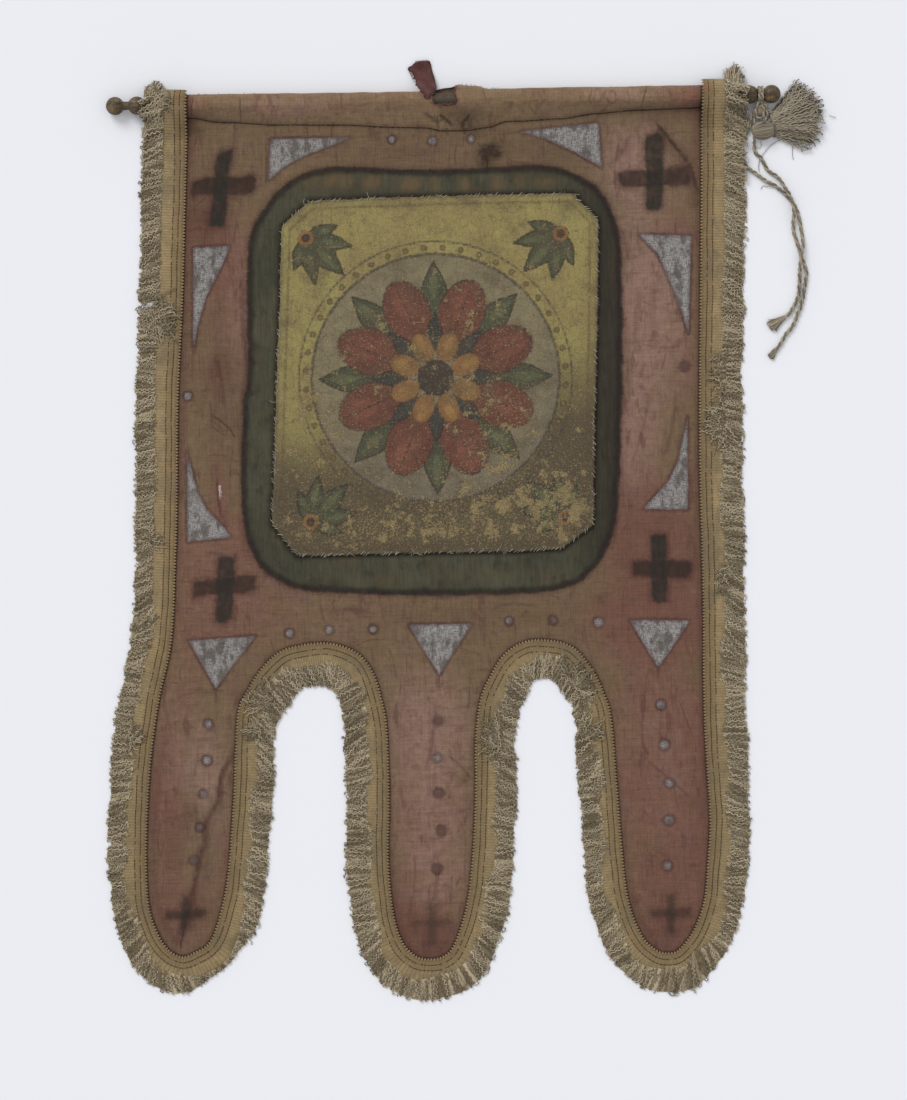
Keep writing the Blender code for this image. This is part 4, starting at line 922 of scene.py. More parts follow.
    mark = g.add(g.attribute("mark"), g.vary(grain, 1.8, 0.0))
    mark = g.add(mark, g.vary(mottle, 1.6, 0.0))
    silver = g.attribute("silver")
    outline = g.times(g.fade(mark, 4.6, 0.4), g.fade(mark, -1.6, 0.4))
    outline = g.times(outline, g.fade(drift, 0.35, 0.62, 0.85, 0.45))
    base = g.mix(outline, base, tone(74, 48, 48))
    fine_warp = g.noise((1.1, 0.2, 0.2), 2.0)
    fine_weft = g.noise((0.2, 1.1, 0.2), 2.0)
    dust = g.fade(g.times(g.add(fine_warp, fine_weft), 0.5), 0.34, 0.60)
    flakes = g.mix(dust, tone(84, 80, 78), tone(162, 159, 155))
    flakes = g.tint(flakes, mottle, 0.50, 0.72, 0.3, (172, 170, 166))
    cloudy = g.fade(g.noise((0.10, 0.045, 0.1), 3.0, 0.6), 0.46, 0.64, 0.0, 0.75)
    flakes = g.mix(cloudy, flakes, tone(84, 76, 70))
    flakes = g.tint(flakes, mark, -3.4, -0.4, 0.55, (98, 86, 90))
    dark_paint = g.brighten(tone(80, 55, 53), ink)
    fill = g.mix(g.fade(silver, 0.0, 0.8), dark_paint, flakes)
    cover = g.times(g.fade(mark, 0.9, -0.9), g.fade(silver, -0.1, 1.0, 0.68, 0.97))
    base = g.mix(cover, base, fill)

    # Painted shade on the cloth beside the trim: reddish within about 9 mm of its edge, nearly
    # black within a few mm
    edge = g.add(g.attribute("trim_edge"), g.vary(grain, 1.4, 0.0))
    base = g.tint(base, edge, 9.0, 2.0, 0.3, (88, 56, 50))
    base = g.tint(base, edge, 4.4, 1.6, 0.8, (46, 34, 29))
    # Painted shade along the sleeve seam: a soft darker band, and a dark line in the seam's fold
    # that also stands for its thread
    seam = g.math("ABSOLUTE", g.add(g.attribute("seam"), g.vary(grain, 0.8, 0.0)))
    seam_line_and_shade = g.times(g.fade(seam, 1.0, 0.2), g.fade(mottle, 0.35, 0.5, 0.35, 0.9))
    base = g.tint(base, seam, 5.0, 0.5, 0.22, (64, 46, 36))
    base = g.mix(seam_line_and_shade, base, tone(46, 34, 27))
    fresh = g.fade(g.add(g.attribute("fresh"), g.vary(grain, 3.5, 0.0)), 3.4, -0.5, 0.0, 0.85)
    base = g.mix(fresh, base, tone(118, 70, 68))
    slit = g.fade(g.add(g.attribute("slit"), g.vary(grain, 1.8, 0.0)), 2.0, 0.8, 0.0, 0.9)
    base = g.mix(slit, base, tone(190, 180, 172))
    g.colour(base)

    threads = g.add(g.times(g.weave(1.0), 0.5), g.times(warp, 0.7))
    threads = g.add(threads, g.times(weft, 0.7))
    threads = g.add(threads, g.times(dark, -1.6))
    threads = g.add(threads, g.times(plum, -0.8))
    threads = g.add(threads, g.times(wrinkle_relief_and_shade, 2.0))
    threads = g.add(threads, g.times(cross_wrinkle_relief_and_shade, 2.0))
    threads = g.add(threads, g.times(blotch, 3.0))
    g.bump(threads, 0.0006, 0.85)
    return g.material


def flap_material():
    """The unfaded red of cloth that lay inside the sleeve."""
    g = Graph("unfaded_red_cloth", roughness=0.92, specular=0.15, sheen=0.12)
    warp = g.noise((0.8, 0.05, 0.2), detail=3.0)
    base = g.mix(g.fade(g.even_noise(0.09, 4.0), 0.35, 0.7), tone(98, 64, 60), tone(84, 50, 47))
    base = g.tint(base, g.attribute("edge"), 2.6, 0.2, 0.8, (52, 38, 38))
    base = g.brighten(base, g.vary(warp, 0.25))
    g.colour(base)
    g.bump(g.add(g.weave(0.9), warp), 0.0003, 0.7)
    return g.material


def panel_material():
    """Worn paint on canvas: a gold ground with a traditional rosette, leaves and a border."""
    g = Graph("worn_painted_canvas", roughness=0.72, specular=0.3, sheen=0.05)
    grain = g.even_noise(0.7, 3.0, 0.65)
    fine = g.even_noise(1.3, 2.0, 0.6)
    blotch = g.even_noise(0.035, 6.0, 0.65)
    cloud = g.even_noise(0.012, 4.0, 0.55)
    mottle = g.even_noise(0.16, 5.0, 0.7)
    streak = g.noise((0.5, 0.05, 0.1), 3.0)

    ground = g.mix(g.fade(cloud, 0.35, 0.62), tone(138, 122, 76), tone(149, 137, 81))
    ground = g.tint(ground, blotch, 0.50, 0.72, 0.85, (158, 147, 86))
    ground = g.tint(ground, g.attribute("low"), 0.0, 1.0, 0.92, (70, 59, 46))
    ground = g.tint(ground, mottle, 0.54, 0.72, 0.6, (76, 65, 45))
    pits = g.fade(fine, 0.54, 0.70, 0.0, 0.6)
    ground = g.mix(pits, ground, tone(66, 56, 38))
    ground = g.tint(ground, grain, 0.56, 0.75, 0.45, (170, 156, 112))

    wobble = g.add(g.vary(g.even_noise(0.3, 3.0), 2.2, 0.0), g.vary(fine, 1.0, 0.0))
    shade = g.vary(g.noise((0.06, 0.09, 0.1), 4.0), 0.5)
    dirty = g.times(shade, g.vary(grain, 0.4))
    outline = tone(44, 34, 29)

    def inked(base, name, colour, strength=1.0, soft=1.1, line=0.0):
        """Lay one painted motif over the base, inside its zero line, with a darker outline."""
        edge = g.add(g.attribute(name), wobble)
        filled = g.mix(g.times(g.fade(edge, soft, -soft), strength), base, colour)
        if line == 0.0:
            return filled
        drawn = g.fade(g.math("ABSOLUTE", edge), 1.9, 0.4, 0.0, line)
        return g.mix(drawn, filled, outline)

    def paint(red, green, blue):
        return g.brighten(tone(red, green, blue), dirty)

    picture = inked(ground, "roundel", paint(112, 103, 86), 0.75, 3.0)
    picture = inked(picture, "ring", paint(66, 58, 50), 0.85)
    picture = inked(picture, "bead", paint(118, 96, 62), 0.8, 1.0, 0.5)
    picture = inked(picture, "leaf", paint(64, 66, 48), 0.95, 1.0, 0.75)
    picture = inked(picture, "leaf_light", paint(96, 98, 66), 0.6, 1.6)
    picture = inked(picture, "petal", paint(96, 54, 42), 0.95)
    picture = inked(picture, "petal_light", paint(118, 70, 54), 0.6, 3.2)
    picture = inked(picture, "petal_line", outline, 0.75, 0.9)
    picture = inked(picture, "sepal", paint(52, 50, 46), 0.95, 1.0, 0.6)
    picture = inked(picture, "inner", paint(124, 88, 50), 0.92)
    picture = inked(picture, "inner_light", paint(146, 112, 66), 0.6, 2.2)
    picture = inked(picture, "inner_line", outline, 0.7, 0.8)
    picture = inked(picture, "boss", paint(58, 48, 40), 0.95, 1.0, 0.7)
    picture = inked(picture, "border", paint(88, 62, 44), 0.55)

    grime = g.fade(g.even_noise(0.03, 5.0, 0.6), 0.48, 0.68, 0.0, 0.5)
    picture = g.mix(grime, picture, tone(74, 62, 48))
    picture = g.tint(picture, streak, 0.55, 0.75, 0.35, (80, 68, 50))
    canvas = g.mix(g.fade(grain, 0.35, 0.65), tone(112, 95, 66), tone(160, 142, 100))
    rub = g.attribute("rub")
    rubbed = g.add(g.even_noise(0.06, 8.0, 0.75), g.times(rub, 0.10))
    loss = g.fade(rubbed, 0.60, 0.64)
    picture = g.mix(g.times(loss, 0.8), picture, canvas)
    more_flecks = g.times(g.add(rub, g.vary(blotch, 1.2, 0.0)), 0.05)
    flecked = g.add(g.even_noise(0.45, 4.0, 0.75), more_flecks)
    flecks = g.fade(flecked, 0.585, 0.64, 0.0, 0.8)
    picture = g.mix(flecks, picture, canvas)
    warp = g.noise((1.0, 0.12, 0.1), 2.0)
    weft = g.noise((0.12, 1.0, 0.1), 2.0)
    threads = g.add(g.times(warp, 0.5), g.times(weft, 0.5))
    picture = g.mix(g.fade(threads, 0.56, 0.66, 0.0, 0.45), picture, canvas)
    picture = g.tint(picture, threads, 0.44, 0.34, 0.5, (54, 44, 34))
    scratch = g.fade(g.noise((0.02, 0.55, 0.1), 4.0, 0.7), 0.66, 0.72, 0.0, 0.5)
    picture = g.mix(scratch, picture, tone(150, 134, 98))
    crack_cells = g.node("ShaderNodeTexVoronoi", feature="DISTANCE_TO_EDGE")
    g.plug(crack_cells.inputs["Vector"], g.place((0.11, 0.09, 0.1)))
    g.plug(crack_cells.inputs["Scale"], 1.0)
    crack = g.fade(crack_cells.outputs["Distance"], 0.03, 0.0, 0.0, 0.35)
    picture = g.mix(crack, picture, tone(60, 50, 38))
    rim = g.fade(g.add(g.attribute("panel_edge"), g.vary(grain, 1.6, 0.0)), 4.5, 0.5, 0.0, 0.5)
    picture = g.mix(rim, picture, tone(104, 92, 70))
    soot = g.fade(g.attribute("panel_edge"), 22.0, 2.0, 0.0, 0.3)
    picture = g.mix(g.times(soot, g.fade(blotch, 0.35, 0.6)), picture, tone(66, 56, 42))
    picture = g.brighten(picture, g.vary(grain, 0.24))
    g.colour(picture)

    height = g.add(g.times(g.weave(1.1), 0.4), g.times(grain, 0.7))
    height = g.add(height, g.times(loss, -0.5))
    height = g.add(height, g.times(flecks, -0.4))
    g.bump(height, 0.0004, 0.7)
    g.plug(g.shader.inputs["Roughness"], g.fade(loss, 0.0, 1.0, 0.66, 0.88))
    return g.material


def gimp_material():
    """Ribbed woven gimp: pale yarn ribs over a slightly darker ground, with painted shade where the
    fringe roots.
    """
    g = Graph("ochre_gimp", roughness=0.88, specular=0.2, sheen=0.15)
    rib = g.attribute("rib")
    across = g.attribute("across")
    mottle = g.even_noise(0.06, 4.0, 0.6)
    fibre = g.even_noise(0.9, 2.0)
    gold = g.mix(g.fade(mottle, 0.35, 0.65), tone(157, 136, 100), tone(141, 123, 91))
    dark = g.mix(g.fade(mottle, 0.35, 0.65), tone(140, 119, 85), tone(126, 108, 78))
    base = g.mix(g.fade(g.add(rib, g.vary(fibre, 0.5, 0.0)), 0.1, 0.8), dark, gold)
    inner = g.fade(g.add(across, g.vary(mottle, 3.0, 0.0)), 14.0, 8.0, 0.0, 0.5)
    base = g.mix(inner, base, tone(112, 91, 62))
    base = g.tint(base, across, 3.2, 1.2, 0.35, (92, 72, 48))
    base = g.tint(base, across, 0.4, -0.8, 0.8, (150, 128, 94))
    groove = g.math("MINIMUM", g.math("ABSOLUTE", g.add(across, -STITCH_ROWS[0])),
                    g.math("ABSOLUTE", g.add(across, -STITCH_ROWS[1])))
    base = g.tint(base, groove, 1.0, 0.2, 0.35, (84, 66, 44))
    # Painted shade on the heading's outer edge, where the fringe roots over it
    root = g.fade(g.add(across, g.vary(fibre, 5.0, 0.0)), 22.5, 27.5, 0.0, 0.7)
    base = g.mix(root, base, tone(84, 70, 50))
    dirt = g.fade(g.even_noise(0.02, 5.0, 0.6), 0.46, 0.68, 0.0, 0.6)
    base = g.mix(dirt, base, tone(108, 96, 76))
    base = g.tint(base, g.coordinate("Y"), -120.0, -420.0, 0.22, (108, 95, 68))
    rust = g.times(g.attribute("rust"), g.fade(g.even_noise(0.35, 3.0), 0.42, 0.62))
    base = g.mix(g.times(rust, 0.7), base, tone(140, 92, 50))
    base = g.brighten(base, g.vary(fibre, 0.3))
    base = g.brighten(base, g.vary(g.even_noise(0.25, 3.0), 0.25))
    g.colour(base)
    g.bump(g.add(fibre, g.times(rib, 0.4)), 0.0003, 0.6)
    return g.material


def yarn_material(name, dark, light, rusty=False):
    """Soft twisted yarn, each strand a little different; a strand below zero is in deep shade."""
    g = Graph(name, roughness=0.9, specular=0.2, sheen=0.2)
    strand = g.attribute("strand")
    fibre = g.even_noise(1.1, 2.0)
    mottle = g.even_noise(0.03, 3.0)
    shade = g.add(strand, g.vary(mottle, 0.4, 0.0))
    base = g.mix(g.fade(shade, 0.0, 1.0), tone(*dark), tone(*light))
    base = g.brighten(base, g.vary(fibre, 0.25))
    base = g.brighten(base, g.fade(strand, -1.0, 0.0, 0.3, 1.0))
    if rusty:
        base = g.mix(g.attribute("rust"), base, tone(138, 96, 54))
    g.colour(base)
    g.bump(fibre, 0.0003, 0.7)
    return g.material


def thread_material(name, colour):
    """Fine sewing thread."""
    g = Graph(name, roughness=0.85, specular=0.2)
    g.colour(g.brighten(tone(*colour), g.vary(g.even_noise(0.4, 3.0), 0.35)))
    g.bump(g.even_noise(1.6, 1.0), 0.0002, 0.5)
    return g.material


def wood_material():
    """Old turned wood: brown-black varnish worn to olive ochre where hands rubbed it."""
    g = Graph("old_turned_wood", roughness=0.5, specular=0.4)
    figure = g.noise((0.03, 0.35, 0.35), 4.0, 0.6, 0.6)
    blotch = g.even_noise(0.12, 4.0, 0.6)
    base = g.mix(g.fade(figure, 0.35, 0.65), tone(58, 46, 32), tone(98, 82, 56))
    base = g.tint(base, blotch, 0.52, 0.68, 0.75, (128, 106, 66))
    rings = g.node("ShaderNodeTexWave", wave_type="BANDS", bands_direction="X")
    g.plug(rings.inputs["Vector"], g.place((0.09, 0.02, 0.02)))
    g.plug(rings.inputs["Scale"], 1.0)
    g.plug(rings.inputs["Distortion"], 2.0)
    base = g.tint(base, rings.outputs["Fac"], 0.8, 1.0, 0.4, (44, 35, 25))
    base = g.tint(base, g.even_noise(0.5, 3.0), 0.62, 0.72, 0.6, (40, 32, 24))
    from_middle = g.math("ABSOLUTE", g.coordinate("X"))
    base = g.tint(base, from_middle, INNER_BEAD_X - 8.0, INNER_BEAD_X - 14.0, 0.7, (50, 43, 28))
    g.colour(base)
    g.plug(g.shader.inputs["Roughness"], g.fade(blotch, 0.3, 0.7, 0.62, 0.4))
    g.bump(g.add(g.times(figure, 0.8), g.times(g.even_noise(0.6, 3.0), 0.4)), 0.0005, 0.5)
    return g.material


def add_values(mesh, name, values):
    """Store one number for each point of a mesh."""
    layer = mesh.attributes.new(name=name, type="FLOAT", domain="POINT")
    layer.data.foreach_set("value", np.asarray(values, dtype=np.float32))


def link_piece(name, mesh, material, smooth=True):
    """Put a mesh in the scene as a piece that rides with the banner."""
    item = bpy.data.objects.new(name, mesh)
    bpy.context.scene.collection.objects.link(item)
    mesh.materials.append(material)
    if smooth:
        mesh.shade_smooth()
    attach(item, BODY)
    return item


def grid_faces(rows, columns):
    """Faces of a sheet whose points are listed row by row."""
    starts = [k * columns + i for k in range(rows - 1) for i in range(columns - 1)]
    return [(a, a + 1, a + columns + 1, a + columns) for a in starts]


def cells_inside(grid, outline):
    """Which cells of a grid of plan points have their middle inside an outline."""
    middles = 0.25 * (grid[:-1, :-1] + grid[1:, :-1] + grid[:-1, 1:] + grid[1:, 1:])
    return inside(middles.reshape(-1, 2), outline).reshape(middles.shape[:2])


def plan_of(bm):
    """Plan points of a mesh that is being made, in millimetres."""
    return np.array([(v.co.x, v.co.y) for v in bm.verts]) / MM


def mesh_points(mesh):
    """The points of a mesh, in millimetres."""
    points = np.empty(len(mesh.vertices) * 3)
    mesh.vertices.foreach_get("co", points)
    return points.reshape(-1, 3) / MM


def mesh_of(name, verts, faces, values=None):
    """A mesh from points in millimetres and faces, with named numbers for its points."""
    mesh = bpy.data.meshes.new(name)
    mesh.from_pydata((np.asarray(verts) * MM).tolist(), [], faces)
    mesh.update()
    for key, numbers in (values or {}).items():
        add_values(mesh, key, numbers)
    return mesh


def directions_beside(run):
    """Two directions square to each direction of a run: one level, one towards the top."""
    side = np.cross(run, np.array([0.0, 0.0, 1.0]))
    short = np.linalg.norm(side, axis=-1, keepdims=True)
    side = np.where(short < 0.05, np.array([1.0, 0.0, 0.0]), side / np.maximum(short, 1e-9))
    return side, np.cross(side, run)


class Tubes:
    """Many thin tubes gathered into one mesh."""

    def __init__(self, sides=4):
        self.sides = sides
        self.verts = []
        self.faces = []
        self.strand = []
        self.rust = []
        self.count = 0

    def add(self, lines, radii, strand=None, rust=None):
        """Add tubes along lines, an array of strands by points by 3, with a radius for each."""
        lines = np.asarray(lines, dtype=float)
        radii = np.broadcast_to(np.asarray(radii, dtype=float), lines.shape[:2])
        amount, steps = lines.shape[:2]
        run = np.gradient(lines, axis=1)
        run /= np.maximum(np.linalg.norm(run, axis=2, keepdims=True), 1e-9)
        side, upper = directions_beside(run)
        turn = np.arange(self.sides) * math.tau / self.sides + math.pi / 4.0
        ring = (side[:, :, None, :] * np.cos(turn)[None, None, :, None]
                + upper[:, :, None, :] * np.sin(turn)[None, None, :, None])
        verts = lines[:, :, None, :] + ring * radii[:, :, None, None]
        self.verts.append(verts.reshape(-1, 3))
        shape = (amount, steps, self.sides)
        index = self.count + np.arange(amount * steps * self.sides).reshape(shape)
        here, there = index[:, :-1], index[:, 1:]
        quads = np.stack([here, np.roll(here, -1, axis=2), np.roll(there, -1, axis=2), there],
                         axis=-1)
        self.faces += quads.reshape(-1, 4).tolist()
        self.faces += index[:, 0, ::-1].tolist() + index[:, -1].tolist()
        each = steps * self.sides
        strand = np.full(amount, 0.5) if strand is None else np.asarray(strand)
        rust = np.zeros(amount) if rust is None else np.asarray(rust)
        self.strand.append(np.repeat(strand, each))
        self.rust.append(np.repeat(rust, each))
        self.count += amount * each

    def add_grid(self, grid, strand, rust):
        """Add a sheet given as rows of points, with a strand number and rust for each point."""
        rows, columns = grid.shape[:2]
        index = self.count + np.arange(rows * columns).reshape(rows, columns)
        quads = np.stack([index[:-1, :-1], index[1:, :-1], index[1:, 1:], index[:-1, 1:]], axis=-1)
        self.faces += quads.reshape(-1, 4).tolist()
        self.verts.append(grid.reshape(-1, 3))
        self.strand.append(np.asarray(strand).ravel())
        self.rust.append(np.asarray(rust).ravel())
        self.count += rows * columns

    def piece(self, name, material, slot):
        mesh = mesh_of(name, np.concatenate(self.verts), self.faces,
                       {"strand": np.concatenate(self.strand), "rust": np.concatenate(self.rust)})
        return link_piece(name, mesh, material)


def wavy_lines(rng, roots, angles, lengths, steps, wave, wave_length, curl, hook):
    """Plan lines of wavy yarns, found by stepping along a direction that swings as it goes."""
    amount = len(roots)
    part = np.linspace(0.0, 1.0, steps)[None, :]
    phase = rng.uniform(0.0, math.tau, amount)[:, None]
    waves = lengths[:, None] / wave_length
    swing = wave * rng.uniform(0.5, 1.3, (amount, 1)) * np.sin(math.tau * waves * part + phase)
    bend = rng.normal(0.0, curl, (amount, 1)) * part
    tip = rng.normal(0.0, hook, (amount, 1)) * np.clip((part - 0.7) / 0.3, 0.0, 1.0)
    heading = angles[:, None] + swing + bend + tip
    stride = (lengths / (steps - 1))[:, None]
    moves = np.stack([np.cos(heading), np.sin(heading)], axis=2) * stride[:, :, None]
    line = np.cumsum(moves, axis=1) - moves
    return roots[:, None, :] + line


def add_camera():
    """The photo's view: from straight above, turned a little so that the rod slopes as there."""
    data = bpy.data.cameras.new("camera")
    data.lens = VIEW_LENS
    data.sensor_width = SENSOR
    data.dof.use_dof = False
    camera = bpy.data.objects.new("camera", data)
    height = VIEW_LENS * PHOTO_HEIGHT / SENSOR
    camera.location = scaled(VIEW_MIDDLE[0], VIEW_MIDDLE[1], height)
    camera.rotation_euler = (0.0, 0.0, VIEW_TURN)
    bpy.context.scene.collection.objects.link(camera)
    bpy.context.scene.camera = camera


def twisted_plies(path, plies=2, offset=PLY_OFFSET, pitch=TWIST_PITCH, start=0.0):
    """Centre lines of the plies that wind round a path."""
    run = np.gradient(path, axis=0)
    run /= np.linalg.norm(run, axis=1)[:, None]
    side, upper = directions_beside(run)
    travelled = lengths_along(path)
    lines = []
    for k in range(plies):
        turn = math.tau * (travelled / pitch + k / plies) + start
        lines.append(path + offset * (side * np.cos(turn)[:, None] + upper * np.sin(turn)[:, None]))
    return np.array(lines)


def make_tie(name, node, route, material):
    """One free end of the tie as a two-ply cord on its route."""
    path = evenly(smooth_curve(route, 8), 1.6)
    tubes = Tubes(sides=7)
    rng = np.random.default_rng(len(route))
    plies = twisted_plies(path)
    tubes.add(plies, PLY_R * rng.uniform(0.93, 1.07, plies.shape[:2]), strand=(0.35, 0.75))
    tie = tubes.piece(name, material, "cord_yarn")
    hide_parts(node)


def make_brush(brush, material):
    """The frayed end of a tie: fine yarns that spread from the cord's end."""
    rng = np.random.default_rng(len(brush.name))
    root, tip = np.array(brush.root), np.array(brush.tip)
    along = (tip - root) / np.linalg.norm(tip - root)
    across = np.array([-along[1], along[0]])
    share = rng.uniform(-1.0, 1.0, brush.yarns)
    roots = root - along * 2.0 + across * (share * brush.root_r)[:, None]
    lengths = np.linalg.norm(tip - root) * rng.uniform(0.85, 1.08, brush.yarns) + 2.0
    spread = np.arctan2(share * (brush.tip_w - brush.root_r), np.linalg.norm(tip - root))
    angles = math.atan2(along[1], along[0]) + spread + rng.normal(0.0, 0.05, brush.yarns)
    plan = wavy_lines(rng, roots, angles, lengths, 9, 0.16, 6.0, 0.12, 0.5)
    part = np.linspace(0.0, 1.0, 9)[None, :]
    level = 2.5 + rng.uniform(-1.5, 1.5, (brush.yarns, 1)) * np.sqrt(1.0 - share**2)[:, None]
    height = np.maximum(0.6, level + part * rng.uniform(-0.8, 0.6, (brush.yarns, 1)))
    tubes = Tubes(sides=5)
    tubes.add(np.dstack([plan, height]), 0.62, strand=rng.uniform(0.1, 0.9, brush.yarns))
    piece = tubes.piece(brush.name, material, "cord_yarn")
    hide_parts(brush.node)


def snap_border(bm, outline, reach, chosen):
    """Move the border vertices that are chosen onto an outline, where it is near."""
    border = [v for v in bm.verts if v.is_boundary and chosen(v)]
    fine = evenly(np.vstack([outline, outline[:1]]), 0.8)
    for vert in border:
        here = np.array([vert.co.x, vert.co.y]) / MM
        nearest = fine[np.argmin(np.hypot(*(fine - here).T))]
        if np.hypot(*(nearest - here)) < reach:
            vert.co.x, vert.co.y = nearest * MM


def sheet_grid():
    """The grid of points of the flat part of the cloth, and the cells that are cloth."""
    cell = CLOTH_CELL
    xs = np.arange(math.floor(-372 / cell), math.ceil(312 / cell) + 1) * cell
    low = np.arange(math.floor(-672 / cell), round(WARP_Y / cell) + 1) * cell
    part = np.linspace(0.0, 1.0, SEAM_ROWS + 1)[1:]
    rows = []
    for x in xs:
        seam = float(table_value(SEAM, x))
        rows.append(np.concatenate([low, WARP_Y + (seam - WARP_Y) * part]))
    ys = np.array(rows)
    grid = np.stack([np.broadcast_to(xs[:, None], ys.shape), ys], axis=2)
    return grid, cells_inside(grid, CLOTH_OUTLINE)


def sleeve_profile(x):
    """Section of the sleeve at x: from the seam over the rod, round its far side and back."""
    drop = float(table_value(SEAM, x)) - ROD_Y
    start = np.array([drop, SEAM_LIFT + CLOTH_MID])
    to_axis = np.array([0.0, ROD_Z]) - start
    distance = np.linalg.norm(to_axis)
    tangent = math.asin(SLEEVE_R / distance)
    slope = math.atan2(to_axis[1], to_axis[0]) + tangent
    reach = distance * math.cos(tangent)
    way = np.array([math.cos(slope), math.sin(slope)])
    points = [start + way * reach * i / 7 for i in range(8)]
    first = slope + math.pi / 2.0
    for i in range(1, 6):
        angle = first + (math.pi / 2.0 - first) * i / 5
        points.append(np.array([SLEEVE_R * math.cos(angle), ROD_Z + SLEEVE_R * math.sin(angle)]))
    nose = float(table_value(NOSE, x)) - 0.7
    for i in range(1, 8):
        angle = math.pi / 2.0 * i / 7
        points.append(np.array([nose * math.sin(angle), ROD_Z + SLEEVE_R * math.cos(angle)]))
    turn = LIP_Z - 0.6
    for i in range(5):
        angle = math.pi / 2.0 * i / 4
        points.append(np.array([nose - turn + turn * math.cos(angle),
                                LIP_Z - turn * math.sin(angle)]))
    for i in range(1, 10):
        points.append(np.array([(nose - turn) + (drop - nose + turn) * i / 9, 0.6]))
    return [(x, ROD_Y + p[0], p[1]) for p in points]


def beside_line(points, route):
    """Distance to a polyline, negative on its right, and how far along it each nearest point is."""
    signed = np.full(len(points), 1e9)
    along_share = np.zeros(len(points))
    count = len(route) - 1
    for k, (a, b) in enumerate(zip(route, route[1:])):
        run = b - a
        part = np.clip((points - a) @ run / (run @ run), 0.0, 1.0)
        away = points - a - part[:, None] * run
        far = np.hypot(away[:, 0], away[:, 1])
        side = np.where(run[0] * away[:, 1] - run[1] * away[:, 0] < 0.0, -1.0, 1.0)
        closer = far < np.abs(signed)
        signed = np.where(closer, side * far, signed)
        along_share = np.where(closer, (k + part) / count, along_share)
    return signed, along_share


def line_values(points, lines):
    """For a list of lines: signed distance as a share of the half width, and the strength."""
    nearest = np.full(len(points), 30.0)
    strength = np.zeros(len(points))
    for line in lines:
        signed, along_share = beside_line(points, smooth_curve(line.route, 4))
        taper = smooth_step(np.minimum(along_share, 1.0 - along_share) / 0.16)
        near = smooth_step((line.half_width + 7.0 - np.abs(signed)) / 3.0)
        closer = np.abs(signed) / line.half_width < np.abs(nearest)
        strength = np.where(closer, line.strength * taper * near, strength)
        nearest = np.where(closer, signed / line.half_width, nearest)
    return np.clip(nearest, -30.0, 30.0), strength


def patch_share(points, patch):
    """How much a soft patch counts at each point: 1 at its middle, fading over its radii."""
    across = (points[:, 0] - patch.x) / patch.rx
    upward = (points[:, 1] - patch.y) / patch.ry
    return np.exp(-(across**2 + upward**2))


def paint_values(points):
    """Numbers that tell the cloth's material where each painted shape, stain, painted shade and
    painted light is.
    """
    band_outline = smooth_curve(BAND, 5, closed=True)
    values = {"band": signed_distance(points, band_outline)}
    values["band_dark"] = smooth_step((points[:, 0] - 120.0) / 60.0) * 0.8

    mark = np.full(len(points), 60.0)
    silver = np.zeros(len(points))
    for shape in MARKS:
        away = signed_distance(points, shape.corners)
        silver = np.where(away < mark, shape.silver, silver)
        mark = np.minimum(mark, away)
    for dot in DOTS:
        away = np.hypot(points[:, 0] - dot.x, points[:, 1] - dot.y) - dot.radius
        silver = np.where(away < mark, dot.silver, silver)
        mark = np.minimum(mark, away)
    values["mark"] = mark
    values["silver"] = silver

    up = np.full(len(points), 60.0)
    bar = np.full(len(points), 60.0)
    soft = np.ones(len(points))
    strength = np.zeros(len(points))
    for cross in CROSSES:
        upright = signed_distance(points, cross.upright)
        across = signed_distance(points, cross.across)
        nearer = np.minimum(upright, across) < np.minimum(up, bar)
        soft = np.where(nearer, cross.soft, soft)
        strength = np.where(nearer, cross.strength, strength)
        up = np.where(nearer, upright, up)
        bar = np.where(nearer, across, bar)
    values["cross_up"] = up
    values["cross_bar"] = bar
    values["cross_soft"] = soft
    values["cross_strength"] = strength
    values["plum"], values["plum_strength"] = line_values(points, PLUM_LINES)
    values["dark"], values["dark_strength"] = line_values(points, DARK_LINES)
    # Distance to the trim's edge, for the painted shade beside it
    values["trim_edge"] = distance_to(points, EDGE_CURVE[::2])

    for key in ("red", "pale", "stain"):
        total = np.zeros(len(points))
        for patch in PATCHES:
            total += getattr(patch, key) * patch_share(points, patch)
        values[key] = total
    worn = np.zeros(len(points))
    for patch in WORN:
        worn += patch.strength * patch_share(points, patch)
    values["worn"] = worn
    values["seam"] = points[:, 1] - table_value(SEAM, points[:, 0])
    # Distance to the canvas's edge, for the painted shadow beside it
    values["panel_gap"] = signed_distance(points, PANEL)
    # Share of the painted light on the sleeve, rising above the seam
    values["sleeve"] = smooth_step(values["seam"] / 5.0)
    values["slit"] = distance_to(points, ((-253.4, -119), (-253, -126), (-252.8, -131)))
    return values


